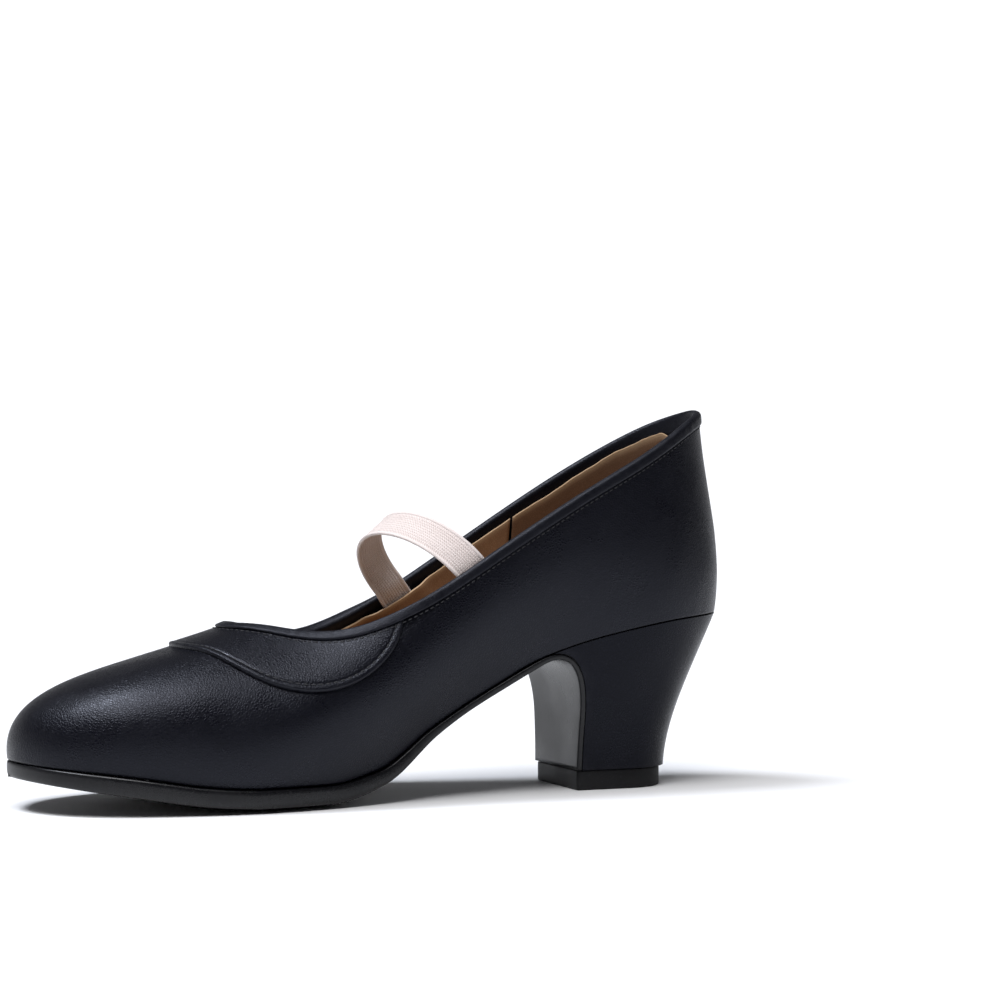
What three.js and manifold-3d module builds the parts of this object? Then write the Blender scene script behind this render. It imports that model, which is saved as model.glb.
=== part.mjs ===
// A heeled dance shoe (right foot): a low-cut leather pump with a covered heel, a throat overlay,
// a bound topline and an elastic instep strap.
// Millimetres. The toe points along -X, the heel along +X, +Z is up and -Y is the medial side.
import * as THREE from 'three';
import { mergeVertices } from 'three/addons/utils/BufferGeometryUtils.js';
import Module from 'manifold-3d';

const wasm = await Module();
wasm.setup();

// ---------------------------------------------------------------- driving dimensions
const shoeLength = 234; // feather line, toe to heel back
const ballWidth = 73; // feather line, widest place
const waistWidth = 47; // feather line, under the arch
const seatWidth = 50; // feather line, over the heel
const toeSpring = 7.9; // rise of the upper's underside from the ball to the toe
const seatFront = 44; // upper's underside above the floor, at the heel breast
const seatBack = 56.5; // upper's underside above the floor, at the back
const throatHeight = 53.5; // topline above the floor, at the throat
const quarterHeight = 122; // topline above the floor, at the back
const throatAt = 68; // toe to throat
const openingWidth = 60; // topline, widest place
const lateralDrop = 4; // lateral topline below the medial one
const lateralCloser = 1; // lateral topline closer to the middle

const gap = 0.3; // clearance between neighbouring pieces
const upperThickness = 1.2;
const stiffenerThickness = 0.8;
const liningThickness = 0.8;
const bindingThickness = 0.7;
const overlayThickness = 0.9;
const bindingOutside = 3; // depth of the binding's outer leg
const bindingInside = 6; // depth of the binding's inner leg
const liningDrop = 3.2; // lining's trimmed edge below the topline
const overlayFront = 18.5; // throat overlay, topline to its lower edge at the throat
const overlaySide = 23.5; // the same at its deepest
const overlayEnd = 6.3; // rib where the overlay runs out into the topline
const lastingMargin = 12; // upper folded in under the insole
const soleThickness = 5.8; // outsole's edge beside the ball
const soleToeThickness = 4.9; // outsole's edge at the toe
const soleBow = 1.4; // outsole's underside lower in the middle than at its edges
const flapThickness = 1.6; // outsole where it covers the heel breast
const soleEdge = 1.8; // outsole beyond the upper at the ball
const soleToeEdge = 0; // outsole beyond the upper at the toe
const waistSole = 2.5; // outsole under the arch
const insoleThickness = 1.8;
const foamThickness = 1.5;
const sockThickness = 0.8;
const shankWidth = 10;
const shankThickness = 1.6;
const liftHeight = 6.3;
const liftLength = 35;
const liftWidth = 33;
const liftInset = 1.4; // lift inside the heel cover
const liftSetBack = 20.4; // back of the shoe to the back of the lift
const heelCoverThickness = 0.8;
const nailRadius = 1.2;
const nailLength = 22;
const screwLength = 26;
const headRadius = 2.4;
const headThickness = 1.1;
const pinRadius = 1.6;
const pinLength = 18;
const pinDepth = 4.3; // pin held in the lift
const strapWidth = 10.4;
const strapThickness = 0.9;
const strapTop = 22.5; // arch of the strap above its ends
const strapTail = 16; // strap end held below the topline
const strapAt = 139; // toe to the middle of the medial strap end
const strapLead = 9.5; // lateral strap end in front of the medial one
const strapPivotRise = 7.5; // topline to the line that the strap swings about

// ---------------------------------------------------------------- splines
const up = new THREE.Vector3(0, 0, 1);

// Closed cubic B-spline through every given point; the parameter counts points.
function closedSpline(points) {
  const count = points.length;
  let control = points;
  for (let pass = 0; pass < 60; pass += 1) {
    const last = control;
    control = last.map((c, i) => {
      const beside = last[(i + count - 1) % count].clone().add(last[(i + 1) % count]);
      const smooth = beside.addScaledVector(c, 4).divideScalar(6);
      return c.clone().add(points[i]).sub(smooth);
    });
  }
  return (at) => {
    const whole = Math.floor(at);
    const f = at - whole;
    const weights = [
      (1 - f) ** 3,
      3 * f ** 3 - 6 * f ** 2 + 4,
      -3 * f ** 3 + 3 * f ** 2 + 3 * f + 1,
      f ** 3,
    ];
    const sum = new THREE.Vector3();
    weights.forEach((w, k) => {
      const index = (((whole + k - 1) % count) + count) % count;
      sum.addScaledVector(control[index], w / 6);
    });
    return sum;
  };
}

// Height as a function of x through the given [x, z] points, without overshoot.
function heightProfile(points) {
  const slopes = points.map((p, i) => {
    if (i === 0 || i === points.length - 1) {
      const [a, b] = i === 0 ? [points[0], points[1]] : [points.at(-2), points.at(-1)];
      return (b[1] - a[1]) / (b[0] - a[0]);
    }
    const before = (p[1] - points[i - 1][1]) / (p[0] - points[i - 1][0]);
    const after = (points[i + 1][1] - p[1]) / (points[i + 1][0] - p[0]);
    return before * after <= 0 ? 0 : (2 * before * after) / (before + after);
  });
  return (x) => {
    let i = 0;
    while (i < points.length - 2 && x > points[i + 1][0]) i += 1;
    const [x0, z0] = points[i];
    const [x1, z1] = points[i + 1];
    const span = x1 - x0;
    const f = (x - x0) / span;
    if (f < 0) return z0 + slopes[i] * (x - x0);
    if (f > 1) return z1 + slopes[i + 1] * (x - x1);
    const rise = f * f * (3 - 2 * f);
    const start = f * (1 - f) ** 2 * span * slopes[i];
    const end = f * f * (f - 1) * span * slopes[i + 1];
    return z0 + (z1 - z0) * rise + start + end;
  };
}

function bezier(a, b, c, d, t) {
  const s = 1 - t;
  return new THREE.Vector3()
    .addScaledVector(a, s ** 3)
    .addScaledVector(b, 3 * s * s * t)
    .addScaledVector(c, 3 * s * t * t)
    .addScaledVector(d, t ** 3);
}

function smoothstep(low, high, x) {
  const f = Math.min(1, Math.max(0, (x - low) / (high - low)));
  return f * f * (3 - 2 * f);
}

// ---------------------------------------------------------------- the last: bottom and topline
const treadStart = 0.29 * shoeLength;
const treadEnd = 0.385 * shoeLength;
const breastFront = 0.71 * shoeLength;
const ballSeat = soleThickness + soleBow;
const waistRise = seatFront - ballSeat;
const seatRise = seatBack - seatFront;
const topRimInset = 5.5; // topline's back in front of the feather line's

// Underside of the upper above the floor.
const seatHeight = heightProfile([
  [0, ballSeat + toeSpring],
  [0.12 * shoeLength, ballSeat + 0.6 * toeSpring],
  [0.235 * shoeLength, ballSeat + 0.1 * toeSpring],
  [treadStart, ballSeat],
  [treadEnd, ballSeat],
  [0.46 * shoeLength, ballSeat + 0.09 * waistRise],
  [0.54 * shoeLength, ballSeat + 0.42 * waistRise],
  [0.635 * shoeLength, ballSeat + 0.763 * waistRise],
  [breastFront, seatFront],
  [0.81 * shoeLength, seatFront + 0.54 * seatRise],
  [0.905 * shoeLength, seatFront + 0.86 * seatRise],
  [shoeLength, seatBack],
]);

const halfBall = ballWidth / 2;
const halfWaist = waistWidth / 2;
const halfSeat = seatWidth / 2;
const halfOpening = openingWidth / 2;
const topSpan = shoeLength - topRimInset - throatAt;
const topRise = quarterHeight - throatHeight;

// One row for each rib from the toe to the back of the heel: where it starts on the feather
// line (x, medial y, lateral y), where it ends on the topline (x, half width, z), and how it
// bulges (out from the feather line, up from it, out from the topline, down from it).
const ribRows = [
  [0, 0, 0, 0, 0, 0, 3.5, 24, 35, 12.5],
  [0.019, 0.38 * halfBall, 0.38 * halfBall, 0.006, 0.18, 0, 3.5, 23.5, 34, 12.5],
  [0.06, 0.66 * halfBall, 0.67 * halfBall, 0.025, 0.35, 0, 4, 22, 31, 13],
  [0.124, 0.85 * halfBall, 0.88 * halfBall, 0.058, 0.53, -0.007, 4.5, 19, 26, 15],
  [0.2, 0.95 * halfBall, 0.99 * halfBall, 0.108, 0.7, -0.024, 5, 16.5, 20, 16],
  [0.286, halfBall, halfBall, 0.178, 0.86, -0.019, 5.5, 15.5, 14, 16],
  [0.385, 0.9 * halfBall, 0.97 * halfBall, 0.262, 0.965, 0.045, 6, 16, 9, 16],
  [0.49, 1.12 * halfWaist, 0.3 * halfBall + 0.8 * halfWaist, 0.374, 1, 0.18, 7, 18, 5.5, 17],
  [0.62, 0.98 * halfWaist, 1.05 * halfWaist, 0.517, 0.98, 0.385, 7.5, 17, 3.5, 17],
  [0.76, 0.95 * halfSeat, 0.97 * halfSeat, 0.685, 0.905, 0.615, 6, 18, 3, 18],
  [0.876, halfSeat, halfSeat, 0.822, 0.79, 0.785, 5, 19, 3, 20],
  [0.955, 0.74 * halfSeat, 0.74 * halfSeat, 0.925, 0.57, 0.92, 4, 20, 2.5, 22],
  [0.988, 0.38 * halfSeat, 0.38 * halfSeat, 0.983, 0.285, 0.982, 3.5, 21, 2, 23],
  [1, 0, 0, 1, 0, 1, 3.5, 22, 2, 24],
];
const heelRib = ribRows.length - 1;
const ribCount = 2 * heelRib;

// Ribs 0 to heelRib run down the medial side, and the rest come back up the lateral side,
// where the topline is cut a little lower and closer.
const ribs = Array.from({ length: ribCount }, (unused, i) => {
  const lateral = i > heelRib;
  const row = ribRows[lateral ? ribCount - i : i];
  const side = lateral ? 1 : -1;
  const lower = lateral ? Math.sin(Math.PI * Math.min(1, 1.25 * row[3])) : 0;
  const x = row[0] * shoeLength;
  return {
    feather: new THREE.Vector3(x, side * (lateral ? row[2] : row[1]), seatHeight(x)),
    topline: new THREE.Vector3(
      throatAt + row[3] * topSpan,
      side * (row[4] * halfOpening - lower * lateralCloser),
      throatHeight + row[5] * topRise - lower * lateralDrop,
    ),
    bulge: row.slice(6),
  };
});

const featherPlan = closedSpline(ribs.map((rib) => rib.feather));
const topline = closedSpline(ribs.map((rib) => rib.topline));

function feather(rib) {
  const p = featherPlan(rib);
  return p.setZ(seatHeight(p.x));
}

// Level direction out of a closed curve at a rib.
function outward(curve, rib) {
  const along = curve(rib + 0.01).sub(curve(rib - 0.01));
  return along.cross(up).normalize();
}

const lowHandle = closedSpline(ribs.map(({ feather: p, bulge }, i) => {
  return p.clone().addScaledVector(outward(featherPlan, i), bulge[0]).addScaledVector(up, bulge[1]);
}));
const highHandle = closedSpline(ribs.map(({ topline: p, bulge }, i) => {
  return p.clone().addScaledVector(outward(topline, i), bulge[2]).addScaledVector(up, -bulge[3]);
}));

// Outer face of the upper: rib 0 at the toe, height 0 at the feather line and 1 at the topline.
function outerFace(rib, height) {
  return bezier(feather(rib), lowHandle(rib), highHandle(rib), topline(rib), height);
}

// Direction up the wall and direction out of it.
function wallFrame(rib, height) {
  const step = 0.004;
  const at = Math.min(1 - step, Math.max(step, height));
  const upwall = outerFace(rib, at + step).sub(outerFace(rib, at - step)).normalize();
  const around = outerFace(rib + 0.02, height).sub(outerFace(rib - 0.02, height));
  return { upwall, out: around.cross(upwall).normalize() };
}

// Point at a distance inside (+) the outer face.
function wallPoint(rib, height, inside) {
  const { out } = wallFrame(rib, height);
  return outerFace(rib, height).addScaledVector(out, -inside);
}

// Height on a rib at a distance down the wall from the topline.
function heightAtDepth(rib, depth) {
  const steps = 120;
  let height = 1;
  let done = 0;
  let last = outerFace(rib, 1);
  while (done < depth && height > 0.01) {
    height -= 1 / steps;
    const next = outerFace(rib, height);
    done += next.distanceTo(last);
    last = next;
  }
  return height;
}

// Point near the topline: a depth down the wall (negative is above the edge), a distance inside.
function edgePoint(rib, depth, inside) {
  if (depth > 0) return wallPoint(rib, heightAtDepth(rib, depth), inside);
  const { upwall, out } = wallFrame(rib, 1);
  return topline(rib).addScaledVector(upwall, -depth).addScaledVector(out, -inside);
}

// Point on the lasted bottom: a distance in from the feather line, a height over the seat.
function bottomPoint(rib, inset, over) {
  const p = featherPlan(rib).addScaledVector(outward(featherPlan, rib), -inset);
  return p.setZ(seatHeight(p.x) + over);
}

// ---------------------------------------------------------------- mesh helpers
function turnedOut(geometry) {
  const position = geometry.getAttribute('position');
  const index = geometry.getIndex();
  const corner = [0, 1, 2].map(() => new THREE.Vector3());
  let volume = 0;
  for (let i = 0; i < index.count; i += 3) {
    corner.forEach((c, k) => c.fromBufferAttribute(position, index.getX(i + k)));
    volume += corner[0].dot(corner[1].clone().cross(corner[2]));
  }
  if (volume < 0) {
    const flipped = Array.from(index.array);
    for (let i = 0; i < flipped.length; i += 3) {
      [flipped[i], flipped[i + 1]] = [flipped[i + 1], flipped[i]];
    }
    geometry.setIndex(flipped);
  }
  geometry.computeVertexNormals();
  return geometry;
}

function geometryOf(points, triangles) {
  const geometry = new THREE.BufferGeometry().setFromPoints(points);
  geometry.setIndex(triangles);
  return turnedOut(geometry);
}

// Closed solid between two matching grids of points, grid[i][j].
function thickSheet(face, back, closedAround = false) {
  const rows = face.length;
  const columns = face[0].length;
  const points = [...face.flat(), ...back.flat()];
  const offset = rows * columns;
  const triangles = [];
  const quad = (a, b, c, d) => triangles.push(a, b, c, a, c, d);
  const rowPairs = closedAround ? rows : rows - 1;
  for (let i = 0; i < rowPairs; i += 1) {
    const here = i * columns;
    const next = ((i + 1) % rows) * columns;
    for (let j = 0; j < columns - 1; j += 1) {
      quad(here + j, next + j, next + j + 1, here + j + 1);
      quad(offset + here + j + 1, offset + next + j + 1, offset + next + j, offset + here + j);
    }
    quad(next, here, offset + here, offset + next);
    const end = columns - 1;
    quad(here + end, next + end, offset + next + end, offset + here + end);
  }
  if (!closedAround) {
    const last = (rows - 1) * columns;
    for (let j = 0; j < columns - 1; j += 1) {
      quad(j, j + 1, offset + j + 1, offset + j);
      quad(last + j + 1, last + j, offset + last + j, offset + last + j + 1);
    }
  }
  return geometryOf(points, triangles);
}

// Closed solid with a top and a bottom over rows of points; a row of one point is a pointed end.
function plate(rows) {
  const points = [];
  const placed = rows.map((row) => row.map(({ top, bottom }) => {
    points.push(top, bottom);
    return points.length - 2;
  }));
  const triangles = [];
  const pair = (a, b, c) => {
    triangles.push(a, b, c);
    triangles.push(a + 1, c + 1, b + 1);
  };
  const wall = (a, b) => triangles.push(a, a + 1, b + 1, a, b + 1, b);
  placed.slice(1).forEach((row, i) => {
    const last = placed[i];
    for (let j = 0; j < Math.max(row.length, last.length) - 1; j += 1) {
      if (last.length === 1) pair(last[0], row[j], row[j + 1]);
      else if (row.length === 1) pair(last[j], row[0], last[j + 1]);
      else {
        pair(last[j], row[j], last[j + 1]);
        pair(last[j + 1], row[j], row[j + 1]);
      }
    }
    wall(last[0], row[0]);
    wall(row.at(-1), last.at(-1));
  });
  [placed[0], placed.at(-1)].forEach((row, end) => {
    row.slice(1).forEach((b, j) => {
      const a = row[j];
      if (end === 0) wall(b, a);
      else wall(a, b);
    });
  });
  return geometryOf(points, triangles);
}

function toSolid(geometry) {
  const bare = geometry.clone();
  bare.deleteAttribute('normal');
  bare.deleteAttribute('uv');
  const merged = mergeVertices(bare, 1e-4);
  return new wasm.Manifold(new wasm.Mesh({
    numProp: 3,
    vertProperties: new Float32Array(merged.getAttribute('position').array),
    triVerts: new Uint32Array(merged.getIndex().array),
  }));
}

function cut(geometry, tools) {
  const solid = tools.reduce((left, tool) => left.subtract(toSolid(tool)), toSolid(geometry));
  const mesh = solid.getMesh();
  const result = new THREE.BufferGeometry();
  result.setAttribute('position', new THREE.BufferAttribute(mesh.vertProperties, 3));
  result.setIndex(new THREE.BufferAttribute(mesh.triVerts, 1));
  return turnedOut(result);
}

// Upright round bar between two heights.
function bar(x, y, low, high, radius, sides = 12) {
  const geometry = new THREE.CylinderGeometry(radius, radius, high - low, sides);
  return geometry.rotateX(Math.PI / 2).translate(x, y, (low + high) / 2);
}

function range(count, from, to) {
  return Array.from({ length: count + 1 }, (unused, i) => from + ((to - from) * i) / count);
}

// ---------------------------------------------------------------- layers, from outside to inside
const stiffenerFace = upperThickness + gap;
const liningFace = stiffenerFace + stiffenerThickness + gap;
const liningMarginLow = upperThickness + gap;
const insoleLow = liningMarginLow + liningThickness + gap;
const foamLow = insoleLow + insoleThickness + gap;
const sockLow = foamLow + foamThickness + gap;
const sockTop = sockLow + sockThickness;
const wallHeights = [0.06, 0.15, 0.27, 0.42, 0.58, 0.74, 0.88];

// The toe wall leans in, so the plates inside it end where it is level with the sock's top.
const toeWall = wallHeights.map((height) => wallPoint(0, height, liningFace + liningThickness));
const toeRise = toeWall.map((p) => p.z - seatHeight(p.x));
const overSock = toeRise.findIndex((rise) => rise > sockTop);
const underSock = overSock - 1;
const toSockTop = (sockTop - toeRise[underSock]) / (toeRise[overSock] - toeRise[underSock]);
const insoleInset = toeWall[underSock].lerp(toeWall[overSock], toSockTop).x + gap / 10;

// Every shell is cut along the same ribs, closer together where they are further apart.
const cutsPerRib = [2, 2, 2, 2, 2, 4, 4, 4, 4, 3, 3, 2, 2];
const ribsOneSide = cutsPerRib.flatMap((cuts, i) => range(cuts, i, i + 1).slice(0, -1));
const ribsAround = [
  ...ribsOneSide,
  heelRib,
  ...ribsOneSide.slice(1).reverse().map((rib) => ribCount - rib),
];

// The same cuts between two ribs, with the two ribs themselves as ends.
function ribsBetween(from, to) {
  const around = [...ribsAround.map((rib) => rib - ribCount), ...ribsAround];
  return [from, ...around.filter((rib) => rib > from + 0.1 && rib < to - 0.1), to];
}

function upper() {
  const top = upperThickness;
  const outer = ribsAround.map((rib) => [
    bottomPoint(rib, lastingMargin, 0),
    bottomPoint(rib, lastingMargin / 2, 0),
    bottomPoint(rib, 0, 0),
    ...wallHeights.map((h) => wallPoint(rib, h, 0)),
    topline(rib),
  ]);
  const inner = ribsAround.map((rib) => [
    bottomPoint(rib, lastingMargin, top),
    bottomPoint(rib, lastingMargin / 2, top),
    bottomPoint(rib, 1.1 * top, top),
    ...wallHeights.map((h) => wallPoint(rib, h, top)),
    wallPoint(rib, 1, top),
  ]);
  return thickSheet(outer, inner, true);
}

// How far the throat overlay reaches down from the topline at a rib counted from the throat.
function overlayReach(fromThroat) {
  const deepest = overlayEnd - 1.9;
  const depth = overlayFront + (overlaySide - overlayFront) * smoothstep(1, deepest, fromThroat);
  const run = Math.max(0, (fromThroat - deepest) / (overlayEnd - deepest));
  return depth * Math.max(0, 1 - run ** 2.5) ** 0.4;
}

function throatOverlay() {
  const reach = overlayEnd - 0.05;
  const across = ribsBetween(-reach, reach);
  const depths = [0, 0.25, 0.5, 0.75, 1];
  const shell = (outside) => across.map((rib) => depths.map((share) => {
    const top = gap;
    const depth = top + (overlayReach(Math.abs(rib)) - top) * share;
    return edgePoint(rib, depth, -outside);
  }));
  return thickSheet(shell(gap + overlayThickness), shell(gap));
}

// The binding stands out further where it runs over the overlay.
function bindingStand(rib) {
  const fromThroat = Math.min(rib, ribCount - rib);
  const over = 1 - smoothstep(overlayEnd, overlayEnd + 0.9, fromThroat);
  return gap + (overlayThickness + gap) * over;
}

function toplineBinding() {
  const innerFace = stiffenerFace;
  const outer = ribsAround.map((rib) => {
    const stand = bindingStand(rib) + bindingThickness;
    return [
      edgePoint(rib, bindingOutside, -stand),
      edgePoint(rib, 0.4, -stand),
      edgePoint(rib, -gap - bindingThickness, -0.3 * stand),
      edgePoint(rib, -gap - bindingThickness, 0.8 * upperThickness),
      edgePoint(rib, 0.4, innerFace + bindingThickness),
      edgePoint(rib, bindingInside, innerFace + bindingThickness),
    ];
  });
  const inner = ribsAround.map((rib) => {
    const stand = bindingStand(rib);
    return [
      edgePoint(rib, bindingOutside, -stand),
      edgePoint(rib, 0.4, -stand),
      edgePoint(rib, -gap, -0.9 * stand),
      edgePoint(rib, -gap, upperThickness + 0.6 * gap),
      edgePoint(rib, 0.4, innerFace),
      edgePoint(rib, bindingInside, innerFace),
    ];
  });
  return thickSheet(outer, inner, true);
}

// ---------------------------------------------------------------- strap geometry
const slope = Math.atan2(0.76, -0.65); // strap's rise, seen from the medial side
const strapUp = new THREE.Vector3(Math.cos(slope), 0, Math.sin(slope));
const strapAcross = new THREE.Vector3(strapUp.z, 0, -strapUp.x);
const strapRib = 7 + (strapAt - ribs[7].topline.x) / (ribs[8].topline.x - ribs[7].topline.x);
const strapLayer = liningFace + gap / 3; // the strap end lies against the binding's inner leg
const strapRoot = edgePoint(strapRib, 0, strapLayer + strapThickness / 2);
const toplineStep = ribs[8].topline.clone().sub(ribs[7].topline);
const strapShift = new THREE.Vector3(-1, 0, -toplineStep.z / toplineStep.x).multiplyScalar(strapLead);

// Wall rib and height nearest to a place seen from the side.
function onWall(x, z, side) {
  let rib = side < 0 ? strapRib : ribCount - strapRib;
  let height = 0.9;
  for (let pass = 0; pass < 25; pass += 1) {
    const here = outerFace(rib, height);
    const byRib = outerFace(rib + 0.01, height).sub(here).divideScalar(0.01);
    const byHeight = outerFace(rib, height + 0.001).sub(here).divideScalar(0.001);
    const det = byRib.x * byHeight.z - byHeight.x * byRib.z;
    const dx = x - here.x;
    const dz = z - here.z;
    rib += (dx * byHeight.z - byHeight.x * dz) / det;
    height += (byRib.x * dz - dx * byRib.z) / det;
  }
  return { rib, height };
}

// Middle surface of the strap: across its width, up from the topline, on the given side.
function strapPoint(across, rise, side, lift) {
  const flat = strapRoot.clone().setY(0).addScaledVector(strapAcross, across);
  flat.addScaledVector(strapUp, rise);
  const angle = Math.asin(Math.min(1, Math.max(0, rise) / strapTop));
  flat.addScaledVector(strapShift, (1 + side * Math.cos(angle)) / 2);
  if (rise <= 0) {
    const { rib, height } = onWall(flat.x, flat.z, side);
    return wallPoint(rib, height, strapLayer + strapThickness / 2 - lift);
  }
  const foot = strapRoot.clone().addScaledVector(strapShift, (1 + side) / 2);
  const root = onWall(foot.x, foot.z, side);
  const half = Math.abs(wallPoint(root.rib, root.height, strapLayer + strapThickness / 2).y);
  const out = new THREE.Vector3(0, side * Math.cos(angle) * strapTop, 0)
    .addScaledVector(strapUp, Math.sin(angle) * half).normalize();
  flat.y = side * half * Math.cos(angle);
  return flat.addScaledVector(out, lift);
}

const strapShares = range(6, -1, 1);

function strapEnd(side) {
  const socket = strapWidth / 2 + gap;
  const rises = [-strapTail, -0.66 * strapTail, -0.33 * strapTail, -1];
  const sheet = (lift) => strapShares.map((share) => {
    const across = (share * strapWidth) / 2;
    const top = strapPivotRise - Math.sqrt(socket ** 2 - across ** 2);
    return [...rises, top / 2, top].map((rise) => strapPoint(across, rise, side, lift));
  });
  return thickSheet(sheet(strapThickness / 2), sheet(-strapThickness / 2));
}

function strapBand() {
  const half = strapWidth / 2;
  const sheet = (lift) => strapShares.map((share) => {
    const across = share * half;
    const start = strapPivotRise - Math.sqrt(half ** 2 - across ** 2);
    const first = Math.asin(start / strapTop);
    const angles = range(11, first, Math.PI / 2);
    const climb = angles.map((a) => strapPoint(across, Math.sin(a) * strapTop, -1, lift));
    const fall = angles.slice(0, -1).reverse();
    return [...climb, ...fall.map((a) => strapPoint(across, Math.sin(a) * strapTop, 1, lift))];
  });
  return thickSheet(sheet(strapThickness / 2), sheet(-strapThickness / 2));
}

// ---------------------------------------------------------------- inner shells
// The lining swells over the strap ends, further over a wide one because the wall curves under it.
const strapSwell = strapThickness + strapWidth / 14;
const swellMargin = 0.0107 * shoeLength; // the shells' cuts spread with the length
const swellEnd = swellMargin + 5.5;

function liningInset(rib, height) {
  const from = outerFace(rib, height).sub(strapRoot);
  if (rib > heelRib || rib < 0) from.sub(strapShift);
  const beside = Math.abs(from.dot(strapAcross)) - strapWidth / 2;
  const below = -strapTail - from.dot(strapUp);
  const near = [beside, below].map((distance) => 1 - smoothstep(swellMargin, swellEnd, distance));
  return liningFace + near[0] * near[1] * strapSwell;
}

function liningPart(from, to) {
  const across = ribsBetween(from, to);
  const shell = (inside, marginInset, over) => across.map((rib) => {
    const top = heightAtDepth(rib, liningDrop);
    const heights = [...wallHeights.slice(0, -1), (0.74 + top) / 2, top];
    return [
      bottomPoint(rib, lastingMargin + 1, over),
      bottomPoint(rib, marginInset, over),
      ...heights.map((height) => wallPoint(rib, height, liningInset(rib, height) + inside)),
    ];
  });
  return thickSheet(
    shell(0, liningFace + gap, liningMarginLow),
    shell(liningThickness, liningFace + liningThickness + gap, liningMarginLow + liningThickness),
  );
}

const liningSeam = 8.8; // rib where the vamp lining meets the heel lining
const seamGap = 0.02;
function vampLining() {
  return liningPart(-liningSeam + seamGap, liningSeam - seamGap);
}

function heelLining() {
  return liningPart(liningSeam + seamGap, ribCount - liningSeam - seamGap);
}

// Stiff shell between the upper and the lining, either side of a rib.
function stiffener(middle, reach, top) {
  const across = ribsBetween(middle - reach, middle + reach);
  const heights = [...wallHeights.filter((height) => height < top - 0.05), top];
  const shell = (inside) => across.map((rib) => {
    return heights.map((height) => wallPoint(rib, height, inside));
  });
  return thickSheet(shell(stiffenerFace), shell(stiffenerFace + stiffenerThickness));
}

function toePuff() {
  return stiffener(0, 3.5, 0.52);
}

function heelCounter() {
  return stiffener(heelRib, 4.3, 0.72);
}

// ---------------------------------------------------------------- bottom plates
// Rows across the shoe at an inset from the feather line, from rib to rib.
function bottomRows(inset, low, high, to = heelRib) {
  const rows = [...ribsOneSide, heelRib].filter((rib) => rib <= to).map((rib) => {
    const left = bottomPoint(rib, inset, 0);
    const right = bottomPoint(ribCount - rib, inset, 0);
    const shares = left.distanceTo(right) < 0.01 ? [0] : [0, 0.5, 1];
    return shares.map((share) => {
      const p = left.clone().lerp(right, share);
      const seat = seatHeight(p.x);
      return { top: p.clone().setZ(seat + high), bottom: p.clone().setZ(seat + low) };
    });
  });
  return rows;
}

const nailSpots = [
  [0.8, -1],
  [0.8, 1],
  [0.885, -1],
  [0.885, 1],
].map(([share, side]) => [share * shoeLength, side * (shankWidth / 2 + headRadius + 1)]);
const screwSpot = [0.845 * shoeLength, 0];

function insoleBoard() {
  const board = plate(bottomRows(insoleInset, insoleLow, insoleLow + insoleThickness));
  const holes = [...nailSpots, screwSpot].flatMap(([x, y]) => {
    const top = headTop(x);
    return [
      bar(x, y, top - 3 * insoleThickness, top + 1, nailRadius + gap),
      bar(x, y, top - headThickness - gap, top + 3, headRadius + gap),
    ];
  });
  return cut(board, holes);
}

// Top of a nail head, just under the lowest rim of its hole.
function headTop(x) {
  return seatHeight(x - headRadius) + insoleLow + insoleThickness - gap / 2;
}

function heelNail([x, y], length) {
  const top = headTop(x);
  const profile = [
    [0, top - length],
    [nailRadius, top - length + 2 * nailRadius],
    [nailRadius, top - headThickness],
    [headRadius, top - headThickness],
    [headRadius, top],
    [0, top],
  ].map(([r, z]) => new THREE.Vector2(r, z));
  return new THREE.LatheGeometry(profile, 12).rotateX(Math.PI / 2).translate(x, y, 0);
}

function shank() {
  const low = 0.5 * gap;
  const rows = range(14, 0.465 * shoeLength, 0.875 * shoeLength).map((x) => [-1, 0, 1].map((side) => {
    const p = new THREE.Vector3(x, (side * shankWidth) / 2, seatHeight(x));
    return {
      top: p.clone().setZ(p.z + low + shankThickness),
      bottom: p.clone().setZ(p.z + low),
    };
  }));
  const [x, y] = screwSpot;
  return cut(plate(rows), [bar(x, y, seatHeight(x) - 3, seatHeight(x) + 5, nailRadius + gap)]);
}

function bottomFiller() {
  const inset = lastingMargin + 1 + 2 * gap;
  return plate(bottomRows(inset, 0, insoleLow - gap, 6));
}

function sockFoam() {
  return plate(bottomRows(insoleInset, foamLow, foamLow + foamThickness));
}

function sockLining() {
  return plate(bottomRows(insoleInset, sockLow, sockTop));
}

// ---------------------------------------------------------------- heel
// The heel's side and back surface: share 0 at the medial breast, 1 at the lateral breast.
const heelFrontRib = 8.45;
const baseOverlap = 14; // heel surface starts this far in front of the breast, and is cut back
const breastBow = 0.4; // the lift's front edge behind the flap's face
const liftBack = shoeLength - liftSetBack;
const liftFront = liftBack - liftLength + breastBow;
const breastAt = liftBack - liftLength + flapThickness; // back of the flap, at mid heel
const cornerLength = 0.95; // rounded back of the lift, in half widths

function heelBase(share, inset) {
  const angle = (share - 0.5) * 2;
  const half = liftWidth / 2 + liftInset - inset;
  const front = breastAt - baseOverlap;
  const back = liftBack + liftInset - inset;
  const round = 0.52;
  const corner = back - half * cornerLength;
  if (Math.abs(angle) > round) {
    const run = (1 - Math.abs(angle)) / (1 - round);
    return new THREE.Vector3(front + (corner - front) * run, Math.sign(angle) * half, liftHeight + gap);
  }
  const turn = (angle / round) * (Math.PI / 2);
  const x = corner + Math.cos(turn) * (back - corner);
  return new THREE.Vector3(x, Math.sin(turn) * half, liftHeight + gap);
}

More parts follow.
